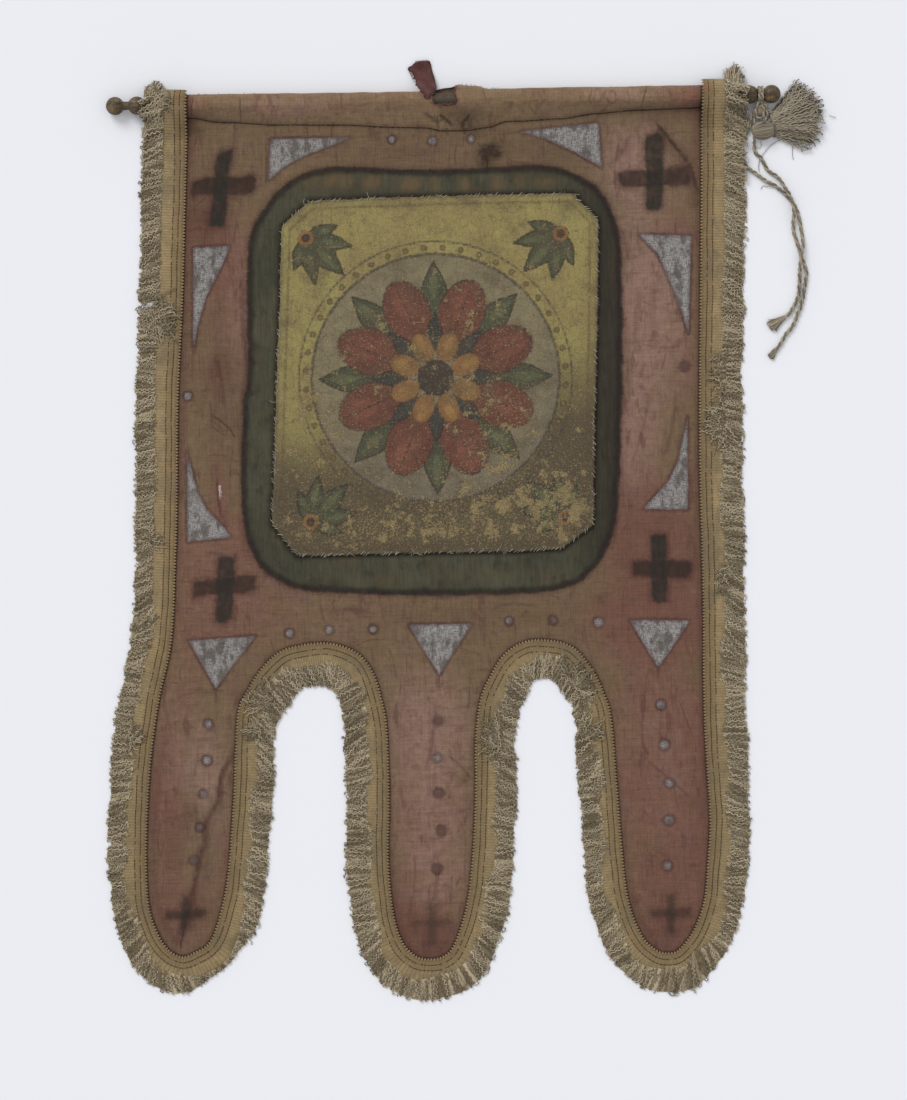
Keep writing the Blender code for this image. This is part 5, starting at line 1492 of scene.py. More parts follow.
def make_cloth(material):
    """The banner's sheet and sleeve, with the tear cut out."""
    grid, kept = sheet_grid()
    columns, rows = grid.shape[:2]
    used = np.zeros((columns, rows), dtype=bool)
    for di in (0, 1):
        for dj in (0, 1):
            used[di:columns - 1 + di, dj:rows - 1 + dj] |= kept
    bm = bmesh.new()
    verts = {}
    for i, j in zip(*np.nonzero(used)):
        verts[i, j] = bm.verts.new(scaled(grid[i, j, 0], grid[i, j, 1]))
    for i, j in zip(*np.nonzero(kept)):
        bm.faces.new((verts[i, j], verts[i + 1, j], verts[i + 1, j + 1], verts[i, j + 1]))
    top = rows - 1
    seam_columns = [i for i in range(columns) if used[i, top]]
    bm.verts.ensure_lookup_table()
    seam_verts = {verts[i, top] for i in seam_columns}
    snap_border(bm, CLOTH_OUTLINE, 0.75 * CLOTH_CELL, lambda v: v not in seam_verts)
    plan = plan_of(bm)
    for vert, z in zip(bm.verts, cloth_height(plan)):
        vert.co.z = z * MM
    for i in seam_columns:
        verts[i, top].co.z = (SEAM_LIFT + CLOTH_MID) * MM

    previous = None
    for i in seam_columns:
        section = sleeve_profile(float(grid[i, top, 0]))
        line = [verts[i, top]] + [bm.verts.new(scaled(*p)) for p in section[1:]]
        if previous:
            for k in range(len(line) - 1):
                bm.faces.new((previous[k], line[k], line[k + 1], previous[k + 1]))
        previous = line

    middles = np.array([face.calc_center_median()[:] for face in bm.faces]) / MM
    torn = inside(middles[:, :2], TEAR) & (middles[:, 2] > TEAR_FLOOR)
    cut = [face for face, is_torn in zip(bm.faces, torn) if is_torn]
    bmesh.ops.delete(bm, geom=cut, context="FACES")
    snap_border(bm, np.array(TEAR), 2.4, lambda v: v.co.z > TEAR_FLOOR * MM)
    bmesh.ops.recalc_face_normals(bm, faces=bm.faces)
    lowest = min(bm.faces, key=lambda f: f.calc_center_median().y)
    if lowest.normal.z < 0.0:
        bmesh.ops.reverse_faces(bm, faces=bm.faces)
    for vert in bm.verts:
        if vert.co.y > ROD_Y * MM - 0.012 and vert.co.z > 0.006:
            x, y = vert.co.x / MM, vert.co.y / MM
            lift = 0.5 * noise.noise(Vector((x / 16.0, y / 9.0, vert.co.z * 80.0)))
            vert.co += vert.normal * lift * MM

    mesh = bpy.data.meshes.new("banner_cloth")
    bm.to_mesh(mesh)
    bm.free()
    points = mesh_points(mesh)
    for key, numbers in paint_values(points[:, :2]).items():
        add_values(mesh, key, numbers)
    near_tear = distance_to(points[:, :2], TEAR, closed=True)
    add_values(mesh, "fresh", np.where(points[:, 2] > TEAR_FLOOR, near_tear, 60.0))
    cloth = link_piece("banner_cloth", mesh, material)
    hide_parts("cloth")
    return cloth


def make_flap(material):
    """The strip torn from the sleeve, thrown back over its top edge."""
    rows = smooth_curve([(r.y, r.left, r.right, r.z) for r in FLAP], 4)
    across = 18
    verts = []
    edge = []
    for k, (y, left, right, z) in enumerate(rows):
        ragged = 0.8 * math.sin(2.1 * k) + 0.7 * math.sin(5.3 * k)
        for i in range(across + 1):
            share = i / across
            x = left + ragged * (1.0 - share) + (right - left) * share
            x += 0.4 * share * math.sin(3.7 * k)
            curl = 1.2 * math.sin(math.pi * share) + 0.7 * math.sin(9.0 * share + 0.5 * k)
            top_rag = 0.9 * math.sin(40.0 * share) + 0.6 if k == len(rows) - 1 else 0.0
            verts.append((x, y + top_rag, max(0.6, z + curl)))
            edge.append(min(share, 1.0 - share) * (right - left))
    faces = grid_faces(len(rows), across + 1)
    mesh = mesh_of("torn_flap", verts, faces, {"edge": edge})
    return link_piece("torn_flap", mesh, material)


def make_cloth_frays(material):
    """Loose threads at the tear, at the flap's end and along the sleeve's worn top edge."""
    rng = np.random.default_rng(11)
    tubes = Tubes(sides=3)
    steps = 6

    def tuft(points, angle, spread, length, height):
        points = np.array(points, dtype=float)
        angles = angle + rng.normal(0.0, spread, len(points))
        lengths = rng.uniform(0.4, 1.0, len(points)) * length
        plan = wavy_lines(rng, points, angles, lengths, steps, 0.35, 3.0, 0.5, 0.6)
        drop = np.linspace(0.0, 1.0, steps)[None, :] * rng.uniform(-0.8, 0.5, (len(points), 1))
        level = np.broadcast_to(np.asarray(height, dtype=float).reshape(-1, 1), drop.shape)
        tubes.add(np.dstack([plan, np.maximum(0.5, level + drop)]), 0.32,
                  strand=rng.uniform(0.0, 1.0, len(points)))

    lower = [(x, 293.0 + 0.6 * math.sin(x)) for x in np.linspace(-9.0, 12.0, 34)]
    tuft(lower, math.pi / 2.0, 0.45, 3.4, 19.0)
    left = [(-12.6, y) for y in np.linspace(296.0, 310.0, 16)]
    tuft(left, 0.0, 0.5, 3.0, 18.4)
    right = [(14.0, y) for y in np.linspace(296.0, 314.0, 20)]
    tuft(right, math.pi, 0.5, 2.6, 17.6)
    crown = [(x, 343.0 + 0.4 * math.sin(3.0 * x)) for x in np.linspace(-30.0, -14.0, 40)]
    tuft(crown, math.pi / 2.0, 0.3, 2.6, 3.0)
    flap_left = [(-37.0 + 0.4 * i, 337.0 - 0.9 * i) for i in range(14)]
    tuft(flap_left, math.pi * 1.1, 0.4, 2.6, 2.2)
    foot = [(x, 308.0 + 0.5 * i) for i, x in enumerate(np.linspace(-20.0, -9.0, 16))]
    tuft(foot, -0.6, 0.8, 4.0, 17.0)
    worn_top = [(x, ROD_Y + float(table_value(NOSE, x)) - 1.2) for x in np.linspace(16.0, 60.0, 24)]
    tuft(worn_top, math.pi / 2.0, 0.7, 2.4, 9.0)
    ends = [(x, ROD_Y + 10.6) for x in np.concatenate([rng.uniform(-278, -200, 16),
                                                      rng.uniform(150, 282, 18)])]
    tuft(ends, math.pi / 2.0, 0.9, 1.8, 9.5)
    return tubes.piece("cloth_frays", material, "faded_cloth")


def make_seam_stitches(material):
    """The dark running stitch that closes the sleeve."""
    xs = np.arange(-283.0, 283.0, 0.5)
    wander = 0.5 * np.sin(xs / 9.0) + 0.3 * np.sin(xs / 3.7)
    line = np.stack([xs, table_value(SEAM, xs) - 0.2 + wander], axis=1)
    lengths = lengths_along(line)
    rng = np.random.default_rng(5)
    tubes = Tubes(sides=4)
    s = 2.0
    while s < lengths[-1] - 6.0:
        run = rng.uniform(2.6, 4.6)
        plan = along_curve(line, np.linspace(s, s + run, 5))
        lift = SEAM_LIFT + CLOTH_MID + 0.15 + 0.3 * np.sin(np.linspace(0.0, math.pi, 5))
        tubes.add(np.column_stack([plan, lift])[None], 0.26, strand=[0.5])
        s += run + rng.uniform(0.6, 3.2)
    return tubes.piece("sleeve_seam_stitches", material, "faded_cloth")


def petal_shape(points, middle, turn, far, long_half, wide_half):
    """Rough signed distance to an oval petal that points away from the middle."""
    way = np.array([math.cos(turn), math.sin(turn)])
    away = points - middle - way * far
    along = away @ way / long_half
    side = away @ np.array([-way[1], way[0]]) / wide_half
    return (np.hypot(along, side) - 1.0) * wide_half


def leaf_shape(points, base, tip, half_width):
    """Signed distance to a pointed leaf from its base to its tip."""
    base = np.array(base, dtype=float)
    axis = np.array(tip, dtype=float) - base
    length = np.linalg.norm(axis)
    axis /= length
    along = (points - base) @ axis
    side = np.abs((points - base) @ np.array([-axis[1], axis[0]]))
    share = np.clip(along / length, 0.0, 1.0)
    width = half_width * np.sin(math.pi * share**0.8)
    outside = np.maximum(-along, along - length)
    return np.maximum(side - width, outside)


def ornament_values(points):
    """Numbers that tell the panel's material where each motif of its ornament is."""
    middle = np.array(ORNAMENT_MIDDLE)
    away = points - middle
    radius = np.hypot(away[:, 0], away[:, 1])
    angle = np.arctan2(away[:, 1], away[:, 0])
    bead_step = math.tau / BEADS
    bead_off = (angle + math.pi) % bead_step - bead_step / 2.0
    values = {
        "roundel": radius - ROUNDEL_R,
        "ring": np.minimum(np.abs(radius - ROUNDEL_R) - 1.6, np.abs(radius - 150.0) - 1.0),
        "bead": np.hypot(radius - BEADS_R, bead_off * BEADS_R) - 2.7,
    }
    far = np.full(len(points), 60.0)
    names = ("petal", "petal_light", "petal_line", "sepal", "inner", "inner_light", "inner_line",
             "leaf", "leaf_light")
    values.update({name: far.copy() for name in names})

    def lay(name, shape):
        values[name] = np.minimum(values[name], shape)

    for k in range(PETALS):
        turn = math.tau * (k + 0.5) / PETALS
        outer = petal_shape(points, middle, turn, 78.0, 36.0, 25.0)
        lay("petal", outer)
        lay("petal_light", petal_shape(points, middle, turn, 88.0, 20.0, 11.0))
        inner = petal_shape(points, middle, turn, 36.0, 17.0, 11.5)
        lay("inner", inner)
        lay("inner_light", petal_shape(points, middle, turn, 41.0, 9.0, 4.5))
        vein = petal_shape(points, middle, turn, 80.0, 24.0, 0.9)
        lay("petal_line", np.minimum(np.maximum(np.abs(outer) - 0.7, 46.0 - radius), vein))
        lay("inner_line", np.abs(inner) - 0.5)
        leaf_turn = math.tau * k / PETALS
        way = np.array([math.cos(leaf_turn), math.sin(leaf_turn)])
        lay("leaf", leaf_shape(points, middle + way * 60.0, middle + way * 128.0, 15.0))
        lay("leaf_light", leaf_shape(points, middle + way * 86.0, middle + way * 120.0, 5.0))
        lay("sepal", leaf_shape(points, middle + way * 30.0, middle + way * 72.0, 8.0))
    values["boss"] = np.minimum(radius - 19.0, far)
    lay("inner_light", radius - 9.0)

    for sx, sy in ((-1, 1), (1, 1), (1, -1), (-1, -1)):
        corner = middle + np.array([sx * 140.0, sy * 156.0])
        for reach, swing, width in ((58.0, 0.0, 12.0), (52.0, 0.6, 9.5), (52.0, -0.6, 9.5),
                                    (38.0, 1.15, 7.5), (38.0, -1.15, 7.5)):
            heading = math.atan2(-sy, -sx) + swing
            way = np.array([math.cos(heading), math.sin(heading)])
            lay("leaf", leaf_shape(points, corner, corner + way * reach, width))
            lay("leaf_light", leaf_shape(points, corner + way * 16.0, corner + way * (reach - 8.0),
                                         width * 0.35))
        dot = np.hypot(*(points - corner).T)
        lay("inner", dot - 9.0)
        lay("inner_line", np.abs(dot - 9.0) - 0.5)
        values["boss"] = np.minimum(values["boss"], dot - 4.0)

    edge = distance_to(points, PANEL, closed=True)
    values["border"] = np.abs(edge - 9.0) - 1.2
    values["panel_edge"] = edge
    values["low"] = smooth_step((-10.0 - points[:, 1]) / 130.0) * 0.9 + smooth_step(
        (points[:, 0] - 70.0) / 50.0) * 0.6 * smooth_step((60.0 - points[:, 1]) / 80.0)
    rub = np.zeros(len(points))
    for x, y, rx, ry, strength in RUBBED:
        rub += strength * np.exp(-((points[:, 0] - x) / rx) ** 2 - ((points[:, 1] - y) / ry) ** 2)
    values["rub"] = rub
    return values


def make_panel(material):
    """The painted canvas, a sheet with a turned-down cut edge."""
    outline = np.array(PANEL, dtype=float)
    outline = evenly(np.vstack([outline, outline[:1]]), 4.0)[:-1]
    wave = ripple(outline, 22.0, 1.0)
    middle = outline.mean(axis=0)
    outward = (outline - middle) / np.linalg.norm(outline - middle, axis=1)[:, None]
    outline = outline + outward * wave[:, None] * 1.3
    low, high = outline.min(axis=0), outline.max(axis=0)
    xs = np.arange(low[0] - PANEL_CELL, high[0] + PANEL_CELL, PANEL_CELL)
    ys = np.arange(low[1] - PANEL_CELL, high[1] + PANEL_CELL, PANEL_CELL)
    grid = np.stack(np.meshgrid(xs, ys, indexing="ij"), axis=2)
    kept = cells_inside(grid, outline)
    bm = bmesh.new()
    verts = {}
    for i, j in zip(*np.nonzero(kept)):
        corners = []
        for key in ((i, j), (i + 1, j), (i + 1, j + 1), (i, j + 1)):
            if key not in verts:
                verts[key] = bm.verts.new(scaled(*grid[key]))
            corners.append(verts[key])
        bm.faces.new(corners)
    snap_border(bm, outline, 0.8 * PANEL_CELL, lambda v: True)
    plan = plan_of(bm)
    edge = distance_to(plan, outline, closed=True)
    lift = 0.35 * ripple(plan, 40.0, 5.0) + 0.18 * ripple(plan, 13.0, 9.0)
    puff = 0.5 * smooth_step(edge / 9.0)
    for vert, z in zip(bm.verts, PANEL_Z + puff + lift * smooth_step(edge / 12.0)):
        vert.co.z = z * MM
    rim = [e for e in bm.edges if e.is_boundary]
    skirt = bmesh.ops.extrude_edge_only(bm, edges=rim)
    for item in skirt["geom"]:
        if isinstance(item, bmesh.types.BMVert):
            item.co.z = PANEL_FOOT_Z * MM
    bmesh.ops.recalc_face_normals(bm, faces=bm.faces)
    mesh = bpy.data.meshes.new("painted_canvas")
    bm.to_mesh(mesh)
    bm.free()
    for key, numbers in ornament_values(mesh_points(mesh)[:, :2]).items():
        add_values(mesh, key, numbers)
    panel = link_piece("painted_canvas", mesh, material)
    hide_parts("painted_panel")
    return panel, outline


def make_panel_stitches(outline, pale, dark):
    """Pale whip stitches over the canvas's edge, and beside them a line of dark thread that also
    stands for the shadow along the edge.
    """
    rng = np.random.default_rng(21)
    closed = np.vstack([outline, outline[:1]])
    total = lengths_along(closed)[-1]
    whip = Tubes(sides=4)
    s = 0.0
    while s < total - 6.0:
        here, ahead = along_curve(closed, np.array([s, s + 1.0]))
        run = (ahead - here) / np.linalg.norm(ahead - here)
        out = np.array([-run[1], run[0]])
        if (here - outline.mean(axis=0)) @ out < 0.0:
            out = -out
        start = here - out * rng.uniform(1.2, 2.6)
        end = here + out * rng.uniform(0.8, 2.2) + run * rng.uniform(2.0, 5.0)
        part = np.linspace(0.0, 1.0, 6)[:, None]
        plan = start + (end - start) * part
        bow = np.sin(math.pi * part[:, 0]) * 0.6
        height = PANEL_Z + 0.55 - 0.7 * part[:, 0] + bow
        whip.add(np.column_stack([plan, height])[None], rng.uniform(0.24, 0.38),
                 strand=[rng.uniform(0.0, 1.0)])
        s += rng.choice([2.6, 3.4, 4.2, 5.5, 9.0])
    for _ in range(46):
        s = rng.uniform(0.0, total)
        here = along_curve(closed, np.array([s]))
        angle = np.array([rng.uniform(0.0, math.tau)])
        length = np.array([rng.uniform(3.0, 8.0)])
        plan = wavy_lines(rng, here, angle, length, 7, 0.5, 4.0, 0.6, 0.6)
        whip.add(np.dstack([plan, np.full((1, 7), PANEL_Z + 0.7)]), 0.18, strand=[0.9])
    pale_piece = whip.piece("canvas_whip_stitches", pale, "painted_canvas")

    # A line of dark thread tubes just outside the canvas's edge, which also stands in for the
    # shadow there
    line = Tubes(sides=4)
    outward = closed - outline.mean(axis=0)
    offset = closed + outward / np.linalg.norm(outward, axis=1)[:, None] * 0.9
    s = 0.0
    while s < total - 8.0:
        run = rng.uniform(5.0, 12.0)
        plan = along_curve(offset, np.linspace(s, s + run, 7))
        line.add(np.column_stack([plan, np.full(7, PANEL_Z - 0.15)])[None],
                 rng.uniform(0.45, 0.7), strand=[0.2])
        s += run + rng.uniform(-0.5, 1.6)
    dark_piece = line.piece("canvas_edge_thread", dark, "painted_canvas")
    return pale_piece, dark_piece


def rust_at(points):
    """How rusty the trim is: the orange stains beside the rod's ends."""
    stain = np.zeros(len(points))
    for x, y, size in RUST:
        stain += np.exp(-((points[:, 0] - x) ** 2 + (points[:, 1] - y) ** 2) / size**2)
    return np.clip(stain, 0.0, 1.0)


def heading_height(place, out, t):
    """Top of the heading t millimetres out from the cloth's visible edge."""
    points = place + out * t[:, None]
    support = trim_support(points)
    over_cloth = 2.9 - 0.55 * smooth_step((t - LAP) / 6.0)
    return np.maximum(over_cloth, support + 1.6), points


def make_heading(stretch, start, end, material, thread):
    """One length of ribbed gimp with its picot edge and two rows of dark stitches."""
    ribs = max(1, round((end - start) / RIB_PITCH))
    s = np.linspace(start, end, ribs * RIB_SAMPLES + 1)
    rib = 0.5 - 0.5 * np.cos(math.tau * np.arange(len(s)) / RIB_SAMPLES)
    place, out = edge_frame(s)
    verts = []
    values = {"rib": [], "across": [], "rust": []}
    for k, t in enumerate(HEADING_COLUMNS):
        if k == 0:
            t_here = 1.0 - 3.4 * np.abs(np.sin(math.pi * s / PICOT_PITCH))
        else:
            t_here = np.full(len(s), t)
        height, points = heading_height(place, out, t_here)
        crown = 0.3 * rib
        if k == 0:
            crown = 0.5 * np.abs(np.sin(math.pi * s / PICOT_PITCH)) - 0.4
        elif k == 1:
            crown = 0.8 * np.abs(np.sin(math.pi * s / PICOT_PITCH))
        elif t in STITCH_ROWS:
            crown = 0.1 * rib - 0.25
        elif t == HEADING_W:
            crown = 0.3 * rib - 1.0
        wander = 0.3 * ripple(points, 30.0, 2.0)
        verts.append(np.column_stack([points, height + crown + wander]))
        values["rib"].append(rib)
        values["across"].append(t_here)
        values["rust"].append(rust_at(points))
    faces = grid_faces(len(HEADING_COLUMNS), len(s))
    verts = np.concatenate(verts)
    values = {key: np.concatenate(rows) for key, rows in values.items()}
    name = "gimp_" + stretch
    piece = link_piece(name, mesh_of(name, verts, faces, values), material)
    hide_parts("trim_" + stretch)

    rng = np.random.default_rng(round(start) + 3)
    stitches = Tubes(sides=3)
    for row, t in enumerate(STITCH_ROWS):
        at = start + rng.uniform(0.0, 2.0)
        while at < end - 4.5:
            run = rng.uniform(2.2, 3.4)
            if rng.uniform() > 0.05 + 0.12 * row:
                here, normal = edge_frame(np.linspace(at, at + run, 4))
                wander = t + 0.5 * math.sin(at / 23.0) + 0.3 * math.sin(at / 7.0)
                height, points = heading_height(here, normal, np.full(4, wander))
                bow = np.array([-0.1, 0.35, 0.35, -0.1])
                stitches.add(np.column_stack([points, height + bow])[None], 0.3, strand=[0.5])
            at += run + rng.uniform(0.5, 1.0)
    stitches.piece("stitches_" + stretch, thread, "trim_yarn")


def lean_along(s, out):
    """How the fringe leans along the edge, in radians: down the banner, and by tufts."""
    tufts = 0.12 * np.sin(s / 9.0 + 1.0) + 0.22 * np.sin(s / 31.0 + 2.0) + 0.16 * np.sin(s / 71.0)
    return tufts - DOWN_LEAN * out[:, 0]


def yarn_heights(rng, plan, level, arch, droop):
    """Heights along yarns that lie on what is under them and curve down to their tips."""
    amount, steps = plan.shape[:2]
    flat = plan.reshape(-1, 2)
    support = trim_support(flat)
    off = np.abs(flat[:, 1] - ROD_Y)
    beside_rod = smooth_step((off - 10.0) / 8.0) * ((np.abs(flat[:, 0]) > 290.0) & (off < 45.0))
    part = np.linspace(0.0, 1.0, steps)[None, :]
    beside_rod = beside_rod.reshape(amount, steps)
    support = support.reshape(amount, steps) * (1.0 - droop * part * beside_rod)
    bulge = arch * np.sin(math.pi * part) * rng.uniform(0.3, 1.2, (amount, 1))
    curve = level * (1.0 - 0.72 * part) + bulge
    jitter = rng.normal(0.0, 0.3, (amount, steps))
    return np.maximum(0.7, support + curve + jitter)


def fringe_length(s):
    """Length of the fringe with its tufts, and with the places where it is worn short."""
    tufts = (1.02 + 0.04 * np.sin(s / 8.3 + 0.7) + 0.05 * np.sin(s / 19.0 + 2.0)
             + 0.03 * np.sin(s / 3.9))
    return along_stretches(FRINGE, s) * tufts * unworn_share(s)


def unworn_share(s):
    """Share of the fringe that is left at each distance along the edge."""
    place = along_curve(EDGE_CURVE, s)
    left = np.ones(len(s))
    for worn in SHORT_FRINGE:
        near = ((place[:, 0] - worn.x) ** 2 + (place[:, 1] - worn.y) ** 2) / worn.half_length**2
        left *= 1.0 - worn.share * np.exp(-near * near)
    return left


def cover_depth(s):
    """How far the fringe lies back over the heading, tuft by tuft."""
    tufts = 0.75 + 0.35 * np.sin(s / 13.0 + 0.4) + 0.25 * np.sin(s / 29.0) + 0.15 * np.sin(s / 5.3)
    return along_stretches(COVER, s) * np.clip(tufts, 0.0, 1.4) * unworn_share(s) ** 3


def add_mat(yarns, rng, start, end):
    """The crimped mass of yarn under the fringe's surface, a thin sheet with a ragged edge."""
    s = np.linspace(start, end, max(3, round((end - start) / MAT_PITCH)))
    place, out = edge_frame(s)
    sideways = np.stack([-out[:, 1], out[:, 0]], axis=1)
    ragged = np.array([noise.noise(Vector((d / 2.6, 4.0, 0.0))) for d in s])
    reach = fringe_length(s) * (0.86 + 0.10 * ragged)
    cover = 0.7 * cover_depth(s)
    ridge = rng.uniform(-0.35, 0.35, len(s))
    crimp_start = rng.uniform(-1.0, 1.0, len(s))
    rows = []
    for part in np.linspace(0.0, 1.0, MAT_ROWS + 1):
        t = (HEADING_W - 2.0 - cover) * (1.0 - part) + (HEADING_W + reach) * part
        lean = np.tan(0.8 * lean_along(s, out)) * (reach + cover) * part
        lean += 0.8 * np.sin(math.tau * t / CRIMP_LENGTH + crimp_start + 2.0 * np.sin(s / 7.0))
        points = place + out * t[:, None] + sideways * lean[:, None]
        off = np.abs(points[:, 1] - ROD_Y)
        droop = 0.5 * part * (np.abs(points[:, 0]) > 290.0) * (off < 45.0)
        lumps = ripple(points, 3.5, 6.0)
        level = (2.5 + 0.06 * cover) * (1.0 - 0.75 * part) + 0.4 * lumps + ridge
        height = trim_support(points) * (1.0 - droop) + level
        rows.append(np.column_stack([points, np.maximum(0.4, height)]))
    grid = np.stack(rows, axis=1)
    shade = np.repeat(rng.uniform(-0.1, 0.9, len(s))[:, None], grid.shape[1], axis=1)
    yarns.add_grid(grid, shade, np.zeros(grid.shape[:2]))


def add_yarns(yarns, rng, start, end):
    """The crimped yarns of the fringe's surface, each bent back where it reaches the edge."""
    amount = round((end - start) / YARN_SPACING)
    s = start + (np.arange(amount) + rng.uniform(0.15, 0.85, amount)) * (end - start) / amount
    place, out = edge_frame(s)
    base_t = HEADING_W - 0.6 + rng.uniform(-1.6, 0.8, amount)
    base_t -= cover_depth(s) * rng.uniform(0.1, 1.1, amount)
    roots = place + out * base_t[:, None]
    lean = lean_along(s, out) + rng.normal(0.0, YARN_SPREAD, amount)
    angles = np.arctan2(out[:, 1], out[:, 0]) + lean
    reach = fringe_length(s) + HEADING_W - base_t
    lengths = 1.12 * reach * (1.0 + 0.30 * YARN_CRIMP**2) / np.cos(0.8 * np.clip(lean, -0.8, 0.8))
    plan = wavy_lines(rng, roots, angles, lengths, YARN_STEPS, YARN_CRIMP, CRIMP_LENGTH, 0.2, 0.7)
    limit = (reach * rng.uniform(0.88, 1.03, amount))[:, None]
    gone = np.einsum("ijk,ik->ij", plan - roots[:, None, :], out)
    back = np.where(gone > limit, -1.7 * (gone - limit), 0.0)
    plan = plan + out[:, None, :] * back[:, :, None]
    height = yarn_heights(rng, plan, YARN_LEVEL, YARN_ARCH, 0.6)
    radii = np.linspace(*YARN_R, YARN_STEPS)[None, :] * rng.uniform(0.85, 1.15, (amount, 1))
    yarns.add(np.dstack([plan, height]), radii, strand=rng.uniform(-0.1, 1.0, amount),
              rust=0.5 * rust_at(roots))


def add_thrown(yarns, rng, start, end):
    """Tufts of the fringe that are thrown back over the heading."""
    for tossed in THROWN:
        near = np.hypot(EDGE_CURVE[:, 0] - tossed.x, EDGE_CURVE[:, 1] - tossed.y)
        at = EDGE_LENGTHS[np.argmin(near)]
        amount = round(tossed.half_length * 4.0 * max(0.6, tossed.reach))
        s = at + rng.normal(0.0, 0.45 * tossed.half_length, amount)
        s = s[(s > start + 1.0) & (s < end - 1.0) & (abs(at - s) < 1.4 * tossed.half_length)]
        if len(s) == 0 or not start - 30.0 < at < end + 30.0:
            continue
        place, out = edge_frame(s)
        base_t = HEADING_W - rng.uniform(-1.0, 7.0, len(s))
        roots = place + out * base_t[:, None]
        inward = np.arctan2(-out[:, 1], -out[:, 0]) + rng.normal(0.0, 0.8, len(s))
        inward += 0.6 * np.sin(s / 6.0)
        lengths = rng.uniform(0.5, 1.0, len(s)) * 26.0 * tossed.reach + 4.0
        plan = wavy_lines(rng, roots, inward, lengths, 12, 0.9, 7.0, 0.9, 1.0)
        flat = plan.reshape(-1, 2)
        support = np.maximum(trim_support(flat) + 1.6, 2.9).reshape(plan.shape[:2])
        height = support + rng.uniform(0.6, 2.4, (len(s), 1))
        height = height + rng.normal(0.0, 0.25, plan.shape[:2])
        yarns.add(np.dstack([plan, height]), LOOSE_YARN_R,
                  strand=rng.uniform(-0.2, 0.8, len(s)), rust=0.4 * rust_at(roots))


def make_fringe(start, end):
    """The fringe of one length of trim: its mat, its crimped yarns and thrown tufts."""
    rng = np.random.default_rng(round(start) + 17)
    yarns = Tubes(sides=3)
    add_mat(yarns, rng, start, end)
    add_yarns(yarns, rng, start, end)
    add_thrown(yarns, rng, start, end)
    return yarns


def add_top_tuft(tubes, tuft):
    """The upright tuft of fringe at the top end of the trim on one side."""
    rng = np.random.default_rng(tuft.seed)
    amount = TOP_TUFT_YARNS
    steps = 9
    share = rng.uniform(-1.0, 1.0, amount)
    roots = np.array(tuft.foot) + np.stack([share * tuft.width, rng.uniform(-6.0, 3.0, amount)],
                                           axis=1)
    angles = TOP_TUFT_TURN + share * tuft.half_spread * 0.3 + rng.normal(0.0, 0.2, amount)
    lengths = tuft.tall * rng.uniform(0.55, 1.05, amount) * (1.0 - 0.6 * np.abs(share))
    plan = wavy_lines(rng, roots, angles, lengths, steps, 0.7, 7.0, 0.3, 0.9)
    part = np.linspace(0.0, 1.0, steps)[None, :]
    top = trim_support(roots)[:, None] + rng.uniform(0.5, 3.0, (amount, 1))
    height = np.maximum(0.8, top * (1.0 - part) + 2.2 * part + 2.5 * np.sin(math.pi * part))
    tubes.add(np.dstack([plan, height]), LOOSE_YARN_R, strand=rng.uniform(0.0, 1.0, amount))


def make_trims(gimp, yarn, thread):
    """Heading, stitches and fringe of every length of trim."""
    for i, stretch in enumerate(STRETCH_NAMES):
        start, end = STRETCH_STARTS[i], STRETCH_STARTS[i + 1]
        make_heading(stretch, start, end, gimp, thread)
        tubes = make_fringe(start, end)
        if stretch in TOP_TUFTS:
            add_top_tuft(tubes, TOP_TUFTS[stretch])
        piece = tubes.piece("fringe_" + stretch, yarn, "trim_yarn")
        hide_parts("trim_" + stretch)


def make_rod(material):
    """The turned rod with its beads, a little uneven as old turning is."""
    profile = []
    neck = math.asin(NECK_R / BEAD_R)
    shaft = math.pi - math.asin(SHAFT_R / BEAD_R)
    profile.append((0.0, OUTER_BEAD_X + BEAD_R))
    for i in range(1, 15):
        angle = (math.pi - neck) * i / 14
        profile.append((BEAD_R * math.sin(angle), OUTER_BEAD_X + BEAD_R * math.cos(angle)))
    profile.append((NECK_R * 0.94, NECK_X))
    for i in range(14):
        angle = neck + (shaft - neck) * i / 13
        profile.append((BEAD_R * math.sin(angle), INNER_BEAD_X + BEAD_R * math.cos(angle)))
    xs = np.linspace(INNER_BEAD_X - 14.0, 10.0, 22)
    profile += [(SHAFT_R, x) for x in xs]
    profile += [(r, -x) for r, x in reversed(profile)]
    sides = 40
    verts = []
    for r, x in profile:
        for k in range(sides):
            angle = math.tau * k / sides
            uneven = noise.noise(Vector((x / 9.0, 1.6 * math.cos(angle), 1.6 * math.sin(angle))))
            radius = r * (1.0 + 0.014 * uneven) if r > 0.0 else 0.0
            verts.append((x, ROD_Y + radius * math.cos(angle), ROD_Z + radius * math.sin(angle)))
    faces = []
    for j in range(len(profile) - 1):
        for k in range(sides):
            a, b = j * sides + k, j * sides + (k + 1) % sides
            faces.append((a, b, b + sides, a + sides))
    mesh = mesh_of("turned_rod", verts, faces)
    bm = bmesh.new()
    bm.from_mesh(mesh)
    bmesh.ops.remove_doubles(bm, verts=bm.verts, dist=0.00001)
    bmesh.ops.recalc_face_normals(bm, faces=bm.faces)
    bm.to_mesh(mesh)
    bm.free()
    rod = link_piece("turned_rod", mesh, material)
    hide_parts("rod")


def tassel_point(x, y, z):
    """A point given along and across the tassel, in the banner's frame."""
    c, s = math.cos(TASSEL_TURN), math.sin(TASSEL_TURN)
    return np.stack([TASSEL_AT[0] + x * c - y * s, TASSEL_AT[1] + x * s + y * c, z], axis=-1)


